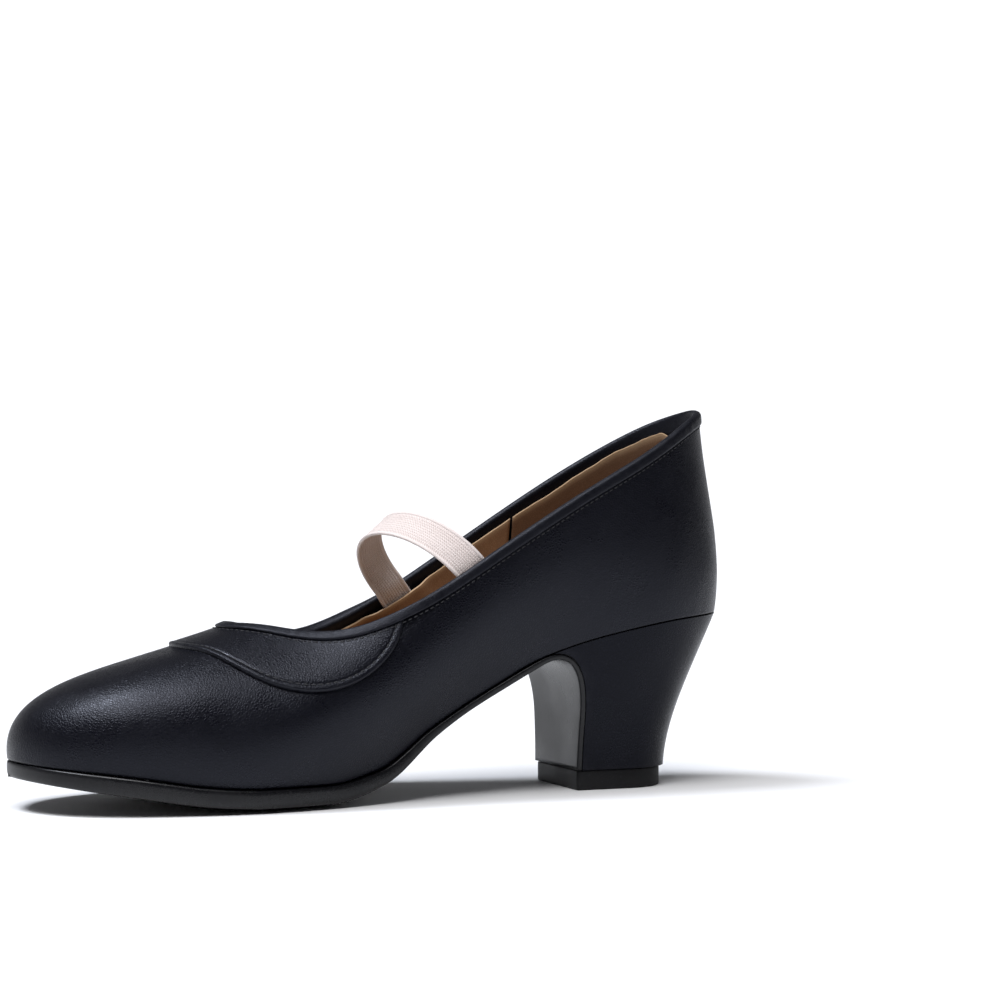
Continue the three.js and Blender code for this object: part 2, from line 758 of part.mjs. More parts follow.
function heelSurface(share, level, inset) {
  const rib = heelFrontRib + share * (ribCount - 2 * heelFrontRib);
  const base = heelBase(share, inset);
  const seat = bottomPoint(rib, inset, -gap);
  const rise = seat.z - base.z;
  const flare = seat.clone().sub(base).setZ(0);
  const low = base.clone().addScaledVector(flare, 0.05).addScaledVector(up, 0.32 * rise);
  const high = seat.clone().addScaledVector(flare, -0.42).addScaledVector(up, -0.36 * rise);
  return bezier(base, low, high, seat, level);
}

// Top of the outsole in side view: under the seat, round the breast corner and down the breast.
function solePath() {
  const leave = 0.7 * shoeLength;
  const seatPart = range(30, 0, leave).map((x) => new THREE.Vector2(x, seatHeight(x) - gap));
  const rise = (seatHeight(leave) - seatHeight(leave - 1));
  const start = seatPart.at(-1);
  const middle = 0.5 * (start.y + liftHeight);
  const turn = new THREE.CubicBezierCurve(
    start,
    new THREE.Vector2(start.x + 11, start.y + 11 * rise),
    new THREE.Vector2(breastAt + 0.6, start.y - 3),
    new THREE.Vector2(breastAt, middle - 3),
  ).getPoints(10);
  const end = new THREE.Vector2(breastAt - 0.3, liftHeight + gap);
  const low = new THREE.Vector2(breastAt - 0.1, (middle + end.y) / 2 - 1);
  return [...seatPart, ...turn.slice(1), low, end];
}

const soleTop = solePath();

function soleThicknessAt(x) {
  const thin = smoothstep(treadEnd, 0.6 * shoeLength, x);
  const flap = smoothstep(0.66 * shoeLength, 0.75 * shoeLength, x);
  const front = soleToeThickness
    + (soleThickness - soleToeThickness) * smoothstep(0, 0.14 * shoeLength, x);
  const waist = front + (waistSole - front) * thin;
  return waist + (flapThickness - waist) * flap - gap * (1 - flap);
}

const soleBottom = soleTop.map((p, i) => {
  const before = soleTop[Math.max(0, i - 1)];
  const after = soleTop[Math.min(soleTop.length - 1, i + 1)];
  const along = after.clone().sub(before).normalize();
  const down = new THREE.Vector2(along.y, -along.x);
  return p.clone().addScaledVector(down, soleThicknessAt(p.x));
});

// Half width of the heel's breast at a height.
function breastHalf(z) {
  let level = 0;
  while (level < 1 && heelSurface(0.06, level, 0).z < z) level += 0.01;
  return Math.abs(heelSurface(0.06, level, 0).y);
}

// Half width of the feather line at a distance from the toe.
function featherHalf(x, side) {
  let low = 0;
  let high = heelRib;
  for (let pass = 0; pass < 30; pass += 1) {
    const rib = (low + high) / 2;
    if (featherPlan(side < 0 ? rib : ribCount - rib).x < x) low = rib;
    else high = rib;
  }
  return Math.abs(featherPlan(side < 0 ? low : ribCount - low).y);
}

// How far the outsole's underside bows down between its edges.
function soleBowAt(x) {
  return soleBow * smoothstep(0, treadStart, x) * (1 - smoothstep(treadEnd, 0.6 * shoeLength, x));
}

// Outsole beyond the upper over the toe and ball.
function soleEdgeAt(rib) {
  return soleToeEdge + (soleEdge - soleToeEdge) * smoothstep(0, 4, rib);
}

const soleBevel = 0.14; // raised edge of the underside, share of the width

function outsole() {
  const turnStart = 0.68 * shoeLength;
  const toeRibs = ribsOneSide.filter((rib) => rib <= 5);
  const frontRows = toeRibs.map((rib) => [rib, ribCount - rib].map((r) => {
    return featherPlan(r).addScaledVector(outward(featherPlan, r), soleEdgeAt(rib));
  }));
  const height = (x) => {
    let i = 1;
    while (i < soleTop.length - 1 && soleTop[i].x < x) i += 1;
    const f = (x - soleTop[i - 1].x) / (soleTop[i].x - soleTop[i - 1].x);
    return [soleTop, soleBottom].map((path) => path[i - 1].clone().lerp(path[i], f));
  };
  const shares = [0, soleBevel, 0.5, 1 - soleBevel, 1];
  const bowed = (share, x) => (share > 0 && share < 1 ? soleBowAt(x) : 0);
  const rows = frontRows.map(([left, right]) => {
    const single = left.distanceTo(right) < 0.01;
    return (single ? [0] : shares).map((share) => {
      const p = left.clone().lerp(right, share);
      const [top, bottom] = height(p.x);
      return { top: p.clone().setZ(top.y), bottom: p.clone().setZ(bottom.y - bowed(share, p.x)) };
    });
  });
  const lastFront = Math.max(...frontRows.at(-1).map((p) => p.x));
  soleTop.forEach((top, i) => {
    if (top.x < lastFront + 3) return;
    const bottom = soleBottom[i];
    const onFlap = smoothstep(turnStart, breastFront + 5, top.x);
    const edges = [-1, 1].map((side) => {
      const edge = soleEdge * (1 - 0.5 * smoothstep(treadEnd, 0.6 * shoeLength, top.x));
      const wide = featherHalf(top.x, side) + edge;
      return side * (wide + (breastHalf(top.y) - wide) * onFlap);
    });
    rows.push(shares.map((share) => {
      const y = edges[0] + (edges[1] - edges[0]) * share;
      return {
        top: new THREE.Vector3(top.x, y, top.y),
        bottom: new THREE.Vector3(bottom.x, y, bottom.y - bowed(share, bottom.x)),
      };
    }));
  });
  return plate(rows);
}

// Everything in front of the back of the flap, as a tool to cut the heel with.
function flapTool() {
  const line = soleTop.filter((p) => p.x > 0.62 * shoeLength);
  const moved = line.map((p, i) => {
    const before = line[Math.max(0, i - 1)];
    const after = line[Math.min(line.length - 1, i + 1)];
    const along = after.clone().sub(before).normalize();
    return p.clone().add(new THREE.Vector2(-along.y, along.x).multiplyScalar(gap));
  });
  const shape = new THREE.Shape();
  shape.moveTo(moved[0].x, -20);
  moved.forEach((p) => shape.lineTo(p.x, p.y));
  shape.lineTo(moved.at(-1).x, -20);
  const half = ballWidth;
  return new THREE.ExtrudeGeometry(shape, { depth: 2 * half, bevelEnabled: false })
    .rotateX(Math.PI / 2).translate(0, half, 0);
}

const heelLevels = range(6, 0, 1);
const heelShares = range(22, 0, 1);

// Hole in the heel for a nail driven down from the insole.
function nailHole([x, y], length) {
  const seat = seatHeight(x);
  return bar(x, y, seat - length - 1, seat + insoleLow + insoleThickness, nailRadius + gap);
}

function heelBlock() {
  const inset = heelCoverThickness + gap;
  const side = heelShares.map((share) => heelLevels.map((level) => heelSurface(share, level, inset)));
  const middle = side.map((column, i) => column.map((p, j) => {
    const mirror = side[side.length - 1 - i][j];
    return p.clone().add(mirror).multiplyScalar(0.5);
  }));
  const half = (side.length - 1) / 2;
  const rows = [];
  for (let i = 0; i <= half; i += 1) {
    const left = side[i];
    const right = side[side.length - 1 - i];
    rows.push({ left, right, centre: middle[i] });
  }
  return cut(loftedBlock(rows), [
    flapTool(),
    ...nailSpots.map((spot) => nailHole(spot, nailLength)),
    nailHole(screwSpot, screwLength),
    ...pinSpots.map(([x, y]) => bar(x, y, 0, pinTop + gap, pinRadius + gap)),
  ]);
}

// Solid inside pairs of upright columns that face each other across the shoe.
function loftedBlock(rows) {
  const levels = rows[0].left.length;
  const points = [];
  const put = (p) => points.push(p) - 1;
  const columns = rows.map(({ left, right, centre }, i) => {
    const single = i === rows.length - 1;
    const l = left.map(put);
    if (single) return { l, r: l, bottom: [l[0]], top: [l.at(-1)] };
    const r = right.map(put);
    return {
      l,
      r,
      bottom: [l[0], put(centre[0]), r[0]],
      top: [l.at(-1), put(centre.at(-1)), r.at(-1)],
    };
  });
  const triangles = [];
  const quad = (a, b, c, d) => triangles.push(a, b, c, a, c, d);
  for (let i = 0; i < columns.length - 1; i += 1) {
    const here = columns[i];
    const next = columns[i + 1];
    for (let j = 0; j < levels - 1; j += 1) {
      quad(here.l[j], next.l[j], next.l[j + 1], here.l[j + 1]);
      quad(next.r[j], here.r[j], here.r[j + 1], next.r[j + 1]);
    }
    ['bottom', 'top'].forEach((end) => {
      const a = here[end];
      const b = next[end];
      for (let k = 0; k < 2; k += 1) {
        const flip = end === 'top';
        const faces = b.length === 1
          ? [[a[k], a[k + 1], b[0]]]
          : [[a[k], a[k + 1], b[k + 1]], [a[k], b[k + 1], b[k]]];
        faces.forEach(([p, q, r]) => triangles.push(...(flip ? [p, r, q] : [p, q, r])));
      }
    });
  }
  // The flat front between the first pair of columns.
  const { l, r, bottom, top } = columns[0];
  const centre = l.map((unused, j) => {
    if (j === 0) return bottom[1];
    if (j === levels - 1) return top[1];
    return put(rows[0].centre[j]);
  });
  for (let j = 0; j < levels - 1; j += 1) {
    quad(l[j + 1], centre[j + 1], centre[j], l[j]);
    quad(centre[j + 1], r[j + 1], r[j], centre[j]);
  }
  return geometryOf(points, triangles);
}

function heelCover() {
  const shell = (inset) => heelShares.map((share) => {
    return heelLevels.map((level) => heelSurface(share, level, inset));
  });
  return cut(thickSheet(shell(0), shell(heelCoverThickness)), [flapTool()]);
}

const pinSpots = [0.3, 0.68].map((share) => [liftFront + share * liftLength, 0]);
const pinTop = liftHeight - pinDepth + gap + pinLength;

function topLift() {
  const half = liftWidth / 2;
  const back = liftBack;
  const corner = back - half * cornerLength;
  const shape = new THREE.Shape();
  shape.moveTo(liftFront, -half);
  shape.lineTo(corner, -half);
  shape.absellipse(corner, 0, back - corner, half, -Math.PI / 2, Math.PI / 2);
  shape.lineTo(liftFront, half);
  shape.closePath();
  const form = { depth: liftHeight, bevelEnabled: false, curveSegments: 20 };
  const lift = new THREE.ExtrudeGeometry(shape, form);
  const low = liftHeight - pinDepth;
  return cut(lift, pinSpots.map(([x, y]) => bar(x, y, low, liftHeight + 1, pinRadius + gap)));
}

function liftPin([x, y]) {
  return bar(x, y, liftHeight - pinDepth + gap, pinTop, pinRadius);
}

// ---------------------------------------------------------------- materials and assembly
function material(color, roughness, metalness = 0) {
  return new THREE.MeshStandardMaterial({ color, roughness, metalness });
}

const blackLeather = material(0x131318, 0.45);
const coverLeather = material(0x101014, 0.5);
const soleResin = material(0x0d0d10, 0.4);
const liftRubber = material(0x101012, 0.7);
const tanLining = material(0x8a5a34, 0.75);
const brownLining = material(0x6e4527, 0.75);
const tanSock = material(0x9a6b40, 0.7);
const fibreBoard = material(0x8d7a5c, 0.9);
const foam = material(0xd8d2c2, 0.95);
const corkFiller = material(0x8f6b45, 0.95);
const thermoplastic = material(0xc9c4b6, 0.6);
const heelPlastic = material(0x2a2a2d, 0.5);
const steel = material(0xa5a8ac, 0.35, 1);
const elastic = material(0xe3cfc4, 0.85);

const pieces = [
  ['outsole', outsole(), soleResin],
  ['upper', upper(), blackLeather],
  ['throat_overlay', throatOverlay(), blackLeather],
  ['topline_binding', toplineBinding(), coverLeather],
  ['vamp_lining', vampLining(), tanLining],
  ['heel_lining', heelLining(), brownLining],
  ['toe_puff', toePuff(), thermoplastic],
  ['heel_counter', heelCounter(), thermoplastic],
  ['insole_board', insoleBoard(), fibreBoard],
  ['sock_foam', sockFoam(), foam],
  ['sock_lining', sockLining(), tanSock],
  ['bottom_filler', bottomFiller(), corkFiller],
  ['shank', shank(), steel],
  ['heel_block', heelBlock(), heelPlastic],
  ['heel_cover', heelCover(), coverLeather],
  ['top_lift', topLift(), liftRubber],
  ...pinSpots.map((spot, i) => [`top_lift_pin_${i + 1}`, liftPin(spot), steel]),
  ...nailSpots.map((spot, i) => [`heel_nail_${i + 1}`, heelNail(spot, nailLength), steel]),
  ['heel_screw', heelNail(screwSpot, screwLength), steel],
  ['strap_end_medial', strapEnd(-1), elastic],
  ['strap_end_lateral', strapEnd(1), elastic],
  ['strap_band', strapBand(), elastic],
];

const shoe = new THREE.Group();
pieces.forEach(([name, geometry, look]) => {
  const mesh = new THREE.Mesh(geometry, look);
  mesh.name = name;
  shoe.add(mesh);
});

// The origin is under the middle of the shoe's box, on the floor.
const box = new THREE.Box3().setFromObject(shoe);
const centre = box.getCenter(new THREE.Vector3());
shoe.position.set(-centre.x, -centre.y, -box.min.z);
shoe.updateMatrixWorld(true);

export default shoe;
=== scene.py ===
# Looks of a heeled dance shoe: black leather pump, covered heel, elastic instep strap.
# Shapes are worked out in millimetres from the toe tip and made in metres in the frame.
import math

import bmesh
import bpy
import numpy as np
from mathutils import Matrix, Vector


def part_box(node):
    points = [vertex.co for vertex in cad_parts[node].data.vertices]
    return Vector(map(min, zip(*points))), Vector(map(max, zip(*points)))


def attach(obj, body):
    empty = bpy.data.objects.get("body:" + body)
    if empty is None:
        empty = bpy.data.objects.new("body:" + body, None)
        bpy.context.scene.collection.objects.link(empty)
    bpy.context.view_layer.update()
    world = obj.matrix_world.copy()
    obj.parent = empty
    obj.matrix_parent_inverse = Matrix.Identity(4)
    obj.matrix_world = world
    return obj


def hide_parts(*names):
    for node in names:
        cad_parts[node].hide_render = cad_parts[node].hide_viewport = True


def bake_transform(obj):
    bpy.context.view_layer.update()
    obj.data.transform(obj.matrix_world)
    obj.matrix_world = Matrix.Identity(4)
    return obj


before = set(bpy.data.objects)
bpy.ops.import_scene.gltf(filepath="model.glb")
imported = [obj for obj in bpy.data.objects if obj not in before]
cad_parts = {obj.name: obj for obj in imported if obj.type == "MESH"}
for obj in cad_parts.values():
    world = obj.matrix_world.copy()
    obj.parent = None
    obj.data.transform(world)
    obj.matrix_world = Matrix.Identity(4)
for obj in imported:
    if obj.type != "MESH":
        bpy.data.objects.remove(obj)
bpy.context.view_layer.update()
print("frame loaded:", len(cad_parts), "nodes")

# ---- sizes that the shoe's shape follows, in millimetres
last = {
    "length": 234.0,  # feather line, toe to heel back
    "ball": 73.0,  # widths of the feather line
    "waist": 47.0,
    "seat": 50.0,
    "toeSpring": 7.9,  # rise from the ball to the toe
    "sole": 5.8,  # outsole's edge beside the ball
    "toeSole": 4.9,
    "bow": 1.4,  # outsole's underside lower in the middle than at its edges
    "seatFront": 44.0,  # upper's underside over the floor
    "seatBack": 56.5,
    "throatAt": 68.0,  # toe to throat
    "throatHeight": 53.5,
    "quarterHeight": 122.0,
    "opening": 60.0,
    "rimInset": 5.5,  # topline's back in front of the feather line's
    "lateralDrop": 4.0,
    "lateralCloser": 1.0,
    "liftFront": 179.0,  # toe to the lift's front edge
}
layers = {  # depths inside the upper's outer face
    "upper": 1.2,
    "lining": 2.6,
    "liningThick": 0.8,
    "strap": 2.7,
    "plateInset": 4.0,
    "sockLow": 6.5,
    "sockTop": 7.3,
}

liftLow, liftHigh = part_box("top_lift")
toe = np.array([liftLow.x - last["liftFront"] / 1000, (liftLow.y + liftHigh.y) / 2, 0.0])


def toFrame(points):
    return np.asarray(points) / 1000 + toe


def smooth(low, high, x):
    f = np.clip((np.asarray(x, float) - low) / (high - low), 0, 1)
    return f * f * (3 - 2 * f)


def unit(v):
    return v / np.maximum(np.linalg.norm(v, axis=-1, keepdims=True), 1e-12)


def cubic(t, start, first, second, end):
    s = 1 - t
    return s**3 * start + 3 * s * s * t * first + 3 * s * t * t * second + t**3 * end


# Closed cubic B-spline through every point; the parameter counts points.
def splineThrough(points, rounds=60):
    points = np.asarray(points, float)
    control = points.copy()
    for turn in range(rounds):
        mean = (np.roll(control, 1, 0) + 4 * control + np.roll(control, -1, 0)) / 6
        control = control + points - mean

    def at(t):
        t = np.asarray(t, float)
        whole = np.floor(t).astype(int)
        f = (t - whole)[..., None]
        weights = ((1 - f) ** 3, 3 * f**3 - 6 * f**2 + 4, -3 * f**3 + 3 * f**2 + 3 * f + 1, f**3)
        return sum(w * control[(whole + k - 1) % len(points)] for k, w in enumerate(weights)) / 6

    return at


# Height over x through the knots, without overshoot.
def heightThrough(knots):
    x, z = np.array(knots, float).T
    rise = np.diff(z) / np.diff(x)
    before, after = rise[:-1], rise[1:]
    total = np.where(before + after == 0, 1, before + after)
    middle = np.where(before * after <= 0, 0, 2 * before * after / total)
    slope = np.concatenate([rise[:1], middle, rise[-1:]])

    def at(s):
        s = np.asarray(s, float)
        i = np.clip(np.searchsorted(x, s, side="right") - 1, 0, len(x) - 2)
        span = x[i + 1] - x[i]
        f = (s - x[i]) / span
        start, end = f * (1 - f) ** 2 * span * slope[i], f * f * (f - 1) * span * slope[i + 1]
        inside = z[i] + (z[i + 1] - z[i]) * f * f * (3 - 2 * f) + start + end
        inside = np.where(f < 0, z[i] + slope[i] * (s - x[i]), inside)
        return np.where(f > 1, z[i + 1] + slope[i + 1] * (s - x[i + 1]), inside)

    return at


length, sole = last["length"], last["sole"]
ballSeat = sole + last["bow"]
treadStart, treadEnd, waistEnd = 0.29 * length, 0.385 * length, 0.6 * length
seatStart = 0.71 * length
waistRise = last["seatFront"] - ballSeat
seatRise = last["seatBack"] - last["seatFront"]
seatHeight = heightThrough([
    (0, ballSeat + last["toeSpring"]),
    (0.12 * length, ballSeat + 0.6 * last["toeSpring"]),
    (0.235 * length, ballSeat + 0.1 * last["toeSpring"]),
    (treadStart, ballSeat),
    (treadEnd, ballSeat),
    (0.46 * length, ballSeat + 0.09 * waistRise),
    (0.54 * length, ballSeat + 0.42 * waistRise),
    (0.635 * length, ballSeat + 0.763 * waistRise),
    (seatStart, last["seatFront"]),
    (0.81 * length, last["seatFront"] + 0.54 * seatRise),
    (0.905 * length, last["seatFront"] + 0.86 * seatRise),
    (length, last["seatBack"]),
])

halfBall, halfWaist, halfSeat = last["ball"] / 2, last["waist"] / 2, last["seat"] / 2
# Ribs from the toe to the back of the heel: feather line (x, medial y, lateral y), topline
# (x, half width, z), and the bulge out and up from the feather line, out and down from the topline.
ribRows = [
    (0, 0, 0, 0, 0, 0, 3.5, 24, 35, 12.5),
    (0.019, 0.38 * halfBall, 0.38 * halfBall, 0.006, 0.18, 0, 3.5, 23.5, 34, 12.5),
    (0.06, 0.66 * halfBall, 0.67 * halfBall, 0.025, 0.35, 0, 4, 22, 31, 13),
    (0.124, 0.85 * halfBall, 0.88 * halfBall, 0.058, 0.53, -0.007, 4.5, 19, 26, 15),
    (0.2, 0.95 * halfBall, 0.99 * halfBall, 0.108, 0.7, -0.024, 5, 16.5, 20, 16),
    (0.286, halfBall, halfBall, 0.178, 0.86, -0.019, 5.5, 15.5, 14, 16),
    (0.385, 0.9 * halfBall, 0.97 * halfBall, 0.262, 0.965, 0.045, 6, 16, 9, 16),
    (0.49, 1.12 * halfWaist, 0.3 * halfBall + 0.8 * halfWaist, 0.374, 1, 0.18, 7, 18, 5.5, 17),
    (0.62, 0.98 * halfWaist, 1.05 * halfWaist, 0.517, 0.98, 0.385, 7.5, 17, 3.5, 17),
    (0.76, 0.95 * halfSeat, 0.97 * halfSeat, 0.685, 0.905, 0.615, 6, 18, 3, 18),
    (0.876, halfSeat, halfSeat, 0.822, 0.79, 0.785, 5, 19, 3, 20),
    (0.955, 0.74 * halfSeat, 0.74 * halfSeat, 0.925, 0.57, 0.92, 4, 20, 2.5, 22),
    (0.988, 0.38 * halfSeat, 0.38 * halfSeat, 0.983, 0.285, 0.982, 3.5, 21, 2, 23),
    (1, 0, 0, 1, 0, 1, 3.5, 22, 2, 24),
]
heelRib = len(ribRows) - 1
ribCount = 2 * heelRib


def ribEnds(i):
    lateral = i > heelRib
    row = ribRows[ribCount - i if lateral else i]
    side = 1 if lateral else -1
    lower = math.sin(math.pi * min(1, 1.25 * row[3])) if lateral else 0
    x = row[0] * length
    topSpan = length - last["rimInset"] - last["throatAt"]
    topRise = last["quarterHeight"] - last["throatHeight"]
    low = (x, side * row[2 if lateral else 1], float(seatHeight(x)))
    high = (
        last["throatAt"] + row[3] * topSpan,
        side * (row[4] * last["opening"] / 2 - lower * last["lateralCloser"]),
        last["throatHeight"] + row[5] * topRise - lower * last["lateralDrop"],
    )
    return low, high, row[6:]


ends = [ribEnds(i) for i in range(ribCount)]
featherPlan = splineThrough([low for low, high, bulge in ends])
topline = splineThrough([high for low, high, bulge in ends])


def feather(rib):
    p = featherPlan(rib)
    p[..., 2] = seatHeight(p[..., 0])
    return p


# Level direction out of a closed curve.
def outward(curve, rib):
    rib = np.asarray(rib, float)
    along = curve(rib + 0.01) - curve(rib - 0.01)
    return unit(np.stack([along[..., 1], -along[..., 0], np.zeros(rib.shape)], -1))


everyRib = np.arange(ribCount)
bulges = np.array([bulge for low, high, bulge in ends], float)
lows = np.array([low for low, high, bulge in ends])
highs = np.array([high for low, high, bulge in ends])
upward = np.array([0.0, 0.0, 1.0])
lowHandle = splineThrough(lows + outward(featherPlan, everyRib) * bulges[:, :1] + upward * bulges[:, 1:2])
highHandle = splineThrough(highs + outward(topline, everyRib) * bulges[:, 2:3] - upward * bulges[:, 3:4])


# The upper's outer face: height 0 at the feather line, 1 at the topline.
def upperFace(rib, height):
    rib, height = np.broadcast_arrays(np.asarray(rib, float), np.asarray(height, float))
    return cubic(height[..., None], feather(rib), lowHandle(rib), highHandle(rib), topline(rib))


def wallFrame(rib, height, step=0.004, ribStep=0.02):
    at = np.clip(height, step, 1 - step)
    upwall = unit(upperFace(rib, at + step) - upperFace(rib, at - step))
    around = upperFace(np.asarray(rib) + ribStep, height) - upperFace(np.asarray(rib) - ribStep, height)
    return upwall, unit(np.cross(around, upwall))


def wallPoint(rib, height, inside):
    upwall, out = wallFrame(rib, height)
    return upperFace(rib, height) - out * np.asarray(inside, float)[..., None]


# Heights on the wall at distances down from the topline; ribs is a column, depths a grid.
def heightsAtDepth(ribs, depths):
    heights = np.linspace(1, 0, 241)
    path = upperFace(ribs[:, None], heights[None, :])
    run = np.cumsum(np.linalg.norm(np.diff(path, axis=1), axis=2), axis=1)
    run = np.concatenate([np.zeros((len(ribs), 1)), run], 1)
    return np.array([np.interp(d, r, heights) for d, r in zip(depths, run)])


# Points near the topline: depth down the wall (negative is above it), distance inside the face.
def edgePoint(ribs, depths, inside):
    ribs = np.asarray(ribs, float)
    depths = np.broadcast_to(depths, (len(ribs), np.shape(depths)[-1])).astype(float)
    inside = np.broadcast_to(inside, depths.shape)
    heights = heightsAtDepth(ribs, np.maximum(depths, 0))
    upwall, out = wallFrame(ribs[:, None], heights)
    over = np.maximum(-depths, 0)[..., None]
    return upperFace(ribs[:, None], heights) + upwall * over - out * inside[..., None]


def bottomPoint(rib, inset, over):
    rib, inset, over = np.broadcast_arrays(*(np.asarray(v, float) for v in (rib, inset, over)))
    p = featherPlan(rib) - outward(featherPlan, rib) * inset[..., None]
    p[..., 2] = seatHeight(p[..., 0]) + over
    return p


# Ribs spaced evenly over the wall between two ribs.
def evenRibs(start, end, count, loop=False):
    dense = np.linspace(start, end, 2401)
    steps = [np.linalg.norm(np.diff(curve(dense), axis=0), axis=1) for curve in (feather, topline)]
    run = np.concatenate([[0], np.cumsum(sum(steps))])
    stations = np.linspace(0, run[-1], count + 1)
    ribs = np.interp(stations, run, dense)
    return ribs[:-1] if loop else ribs


# ---- mesh makers
def volume(points, faces):
    total = 0.0
    for face in faces:
        a = points[face[0]]
        for k in range(1, len(face) - 1):
            total += float(np.dot(a, np.cross(points[face[k]], points[face[k + 1]])))
    return total


def newObject(name, mesh, material=None):
    made = bpy.data.objects.new(name, mesh)
    bpy.context.scene.collection.objects.link(made)
    if material:
        mesh.materials.append(material)
    mesh.shade_smooth()
    return made


# Closed solid from rings of points; each ring is a closed profile, ring by ring along the piece.
def sweptMesh(name, rings, loop, marks=None):
    points = toFrame(rings)
    rows, columns = points.shape[:2]
    flat = points.reshape(-1, 3)
    faces, uvs = [], []
    middle = points[:, columns // 4]
    along = np.concatenate([[0], np.cumsum(np.linalg.norm(np.roll(middle, -1, 0) - middle, axis=1))])
    around = points[rows // 3]
    across = np.concatenate([[0], np.cumsum(np.linalg.norm(np.roll(around, -1, 0) - around, axis=1))])
    for i in range(rows if loop else rows - 1):
        here, there = i * columns, ((i + 1) % rows) * columns
        for j in range(columns):
            k = (j + 1) % columns
            faces.append((here + j, there + j, there + k, here + k))
            u, v = along[i], across[j]
            uvs.append(((u, v), (along[i + 1], v), (along[i + 1], across[j + 1]), (u, across[j + 1])))
    if not loop:
        for start, turned in ((0, False), ((rows - 1) * columns, True)):
            for j in range(columns // 2 - 1):
                face = [start + j, start + j + 1, start + columns - 2 - j, start + columns - 1 - j]
                faces.append(tuple(reversed(face)) if turned else tuple(face))
                uvs.append(tuple((across[j], 0.0) for corner in range(4)))
            if columns % 2:
                half = columns // 2
                face = [start + half - 1, start + half, start + half + 1]
                faces.append(tuple(reversed(face)) if turned else tuple(face))
                uvs.append(tuple((across[half], 0.0) for corner in range(3)))
    if volume(flat, faces) < 0:
        faces = [tuple(reversed(face)) for face in faces]
        uvs = [tuple(reversed(uv)) for uv in uvs]
    mesh = bpy.data.meshes.new(name)
    mesh.from_pydata([tuple(p) for p in flat], [], faces)
    layer = mesh.uv_layers.new(name="place")
    layer.data.foreach_set("uv", np.array([c for uv in uvs for c in uv], float).ravel())
    for mark, values in (marks or {}).items():
        attribute = mesh.attributes.new(mark, "FLOAT", "POINT")
        spread = np.broadcast_to(values, (rows, columns)).astype(np.float32)
        attribute.data.foreach_set("value", spread.ravel())
    return mesh


# Merges doubles and drops faces without area.
def mergeDoubles(mesh, distance=2e-6):
    work = bmesh.new()
    work.from_mesh(mesh)
    bmesh.ops.remove_doubles(work, verts=work.verts, dist=distance)
    bmesh.ops.dissolve_degenerate(work, dist=distance, edges=work.edges)
    bmesh.ops.recalc_face_normals(work, faces=work.faces)
    work.to_mesh(mesh)
    work.free()
    return mesh


# Slow waves that keep the leather from looking machined.
def ripple(points, size, wave, seed):
    rng = np.random.default_rng(seed)
    total = np.zeros(points.shape[:-1])
    for turn in range(7):
        direction = unit(rng.normal(size=3))
        pitch = wave * rng.uniform(0.6, 1.7)
        total += np.sin(points @ direction * 2 * np.pi / pitch + rng.uniform(0, 6.28))
    return total * size / 2.6


# ---- materials
def addNode(tree, kind, wires=None, **settings):
    made = tree.nodes.new(kind)
    for key, value in settings.items():
        setattr(made, key, value)
    for key, value in (wires or {}).items():
        if isinstance(value, bpy.types.NodeSocket):
            tree.links.new(value, made.inputs[key])
        else:
            made.inputs[key].default_value = value
    return made


def doMath(tree, operation, *values):
    made = addNode(tree, "ShaderNodeMath", dict(enumerate(values)), operation=operation)
    return made.outputs[0]


def remap(tree, value, low, high, newLow=0.0, newHigh=1.0, kind="SMOOTHSTEP"):
    wires = {"Value": value, "From Min": low, "From Max": high, "To Min": newLow, "To Max": newHigh}
    return addNode(tree, "ShaderNodeMapRange", wires, interpolation_type=kind).outputs["Result"]


def mixColour(tree, factor, first, second, blend="MIX"):
    wires = {"Factor": factor, 6: first, 7: second}
    return addNode(tree, "ShaderNodeMix", wires, data_type="RGBA", blend_type=blend).outputs[2]


def newGroup(name, inputs, outputs):
    group = bpy.data.node_groups.new(name, "ShaderNodeTree")
    for label, kind, value in inputs:
        socket = group.interface.new_socket(label, in_out="INPUT", socket_type="NodeSocket" + kind)
        if value is not None:
            socket.default_value = value
    for label in outputs:
        group.interface.new_socket(label, in_out="OUTPUT", socket_type="NodeSocketFloat")
    return group, group.nodes.new("NodeGroupInput").outputs, group.nodes.new("NodeGroupOutput").inputs


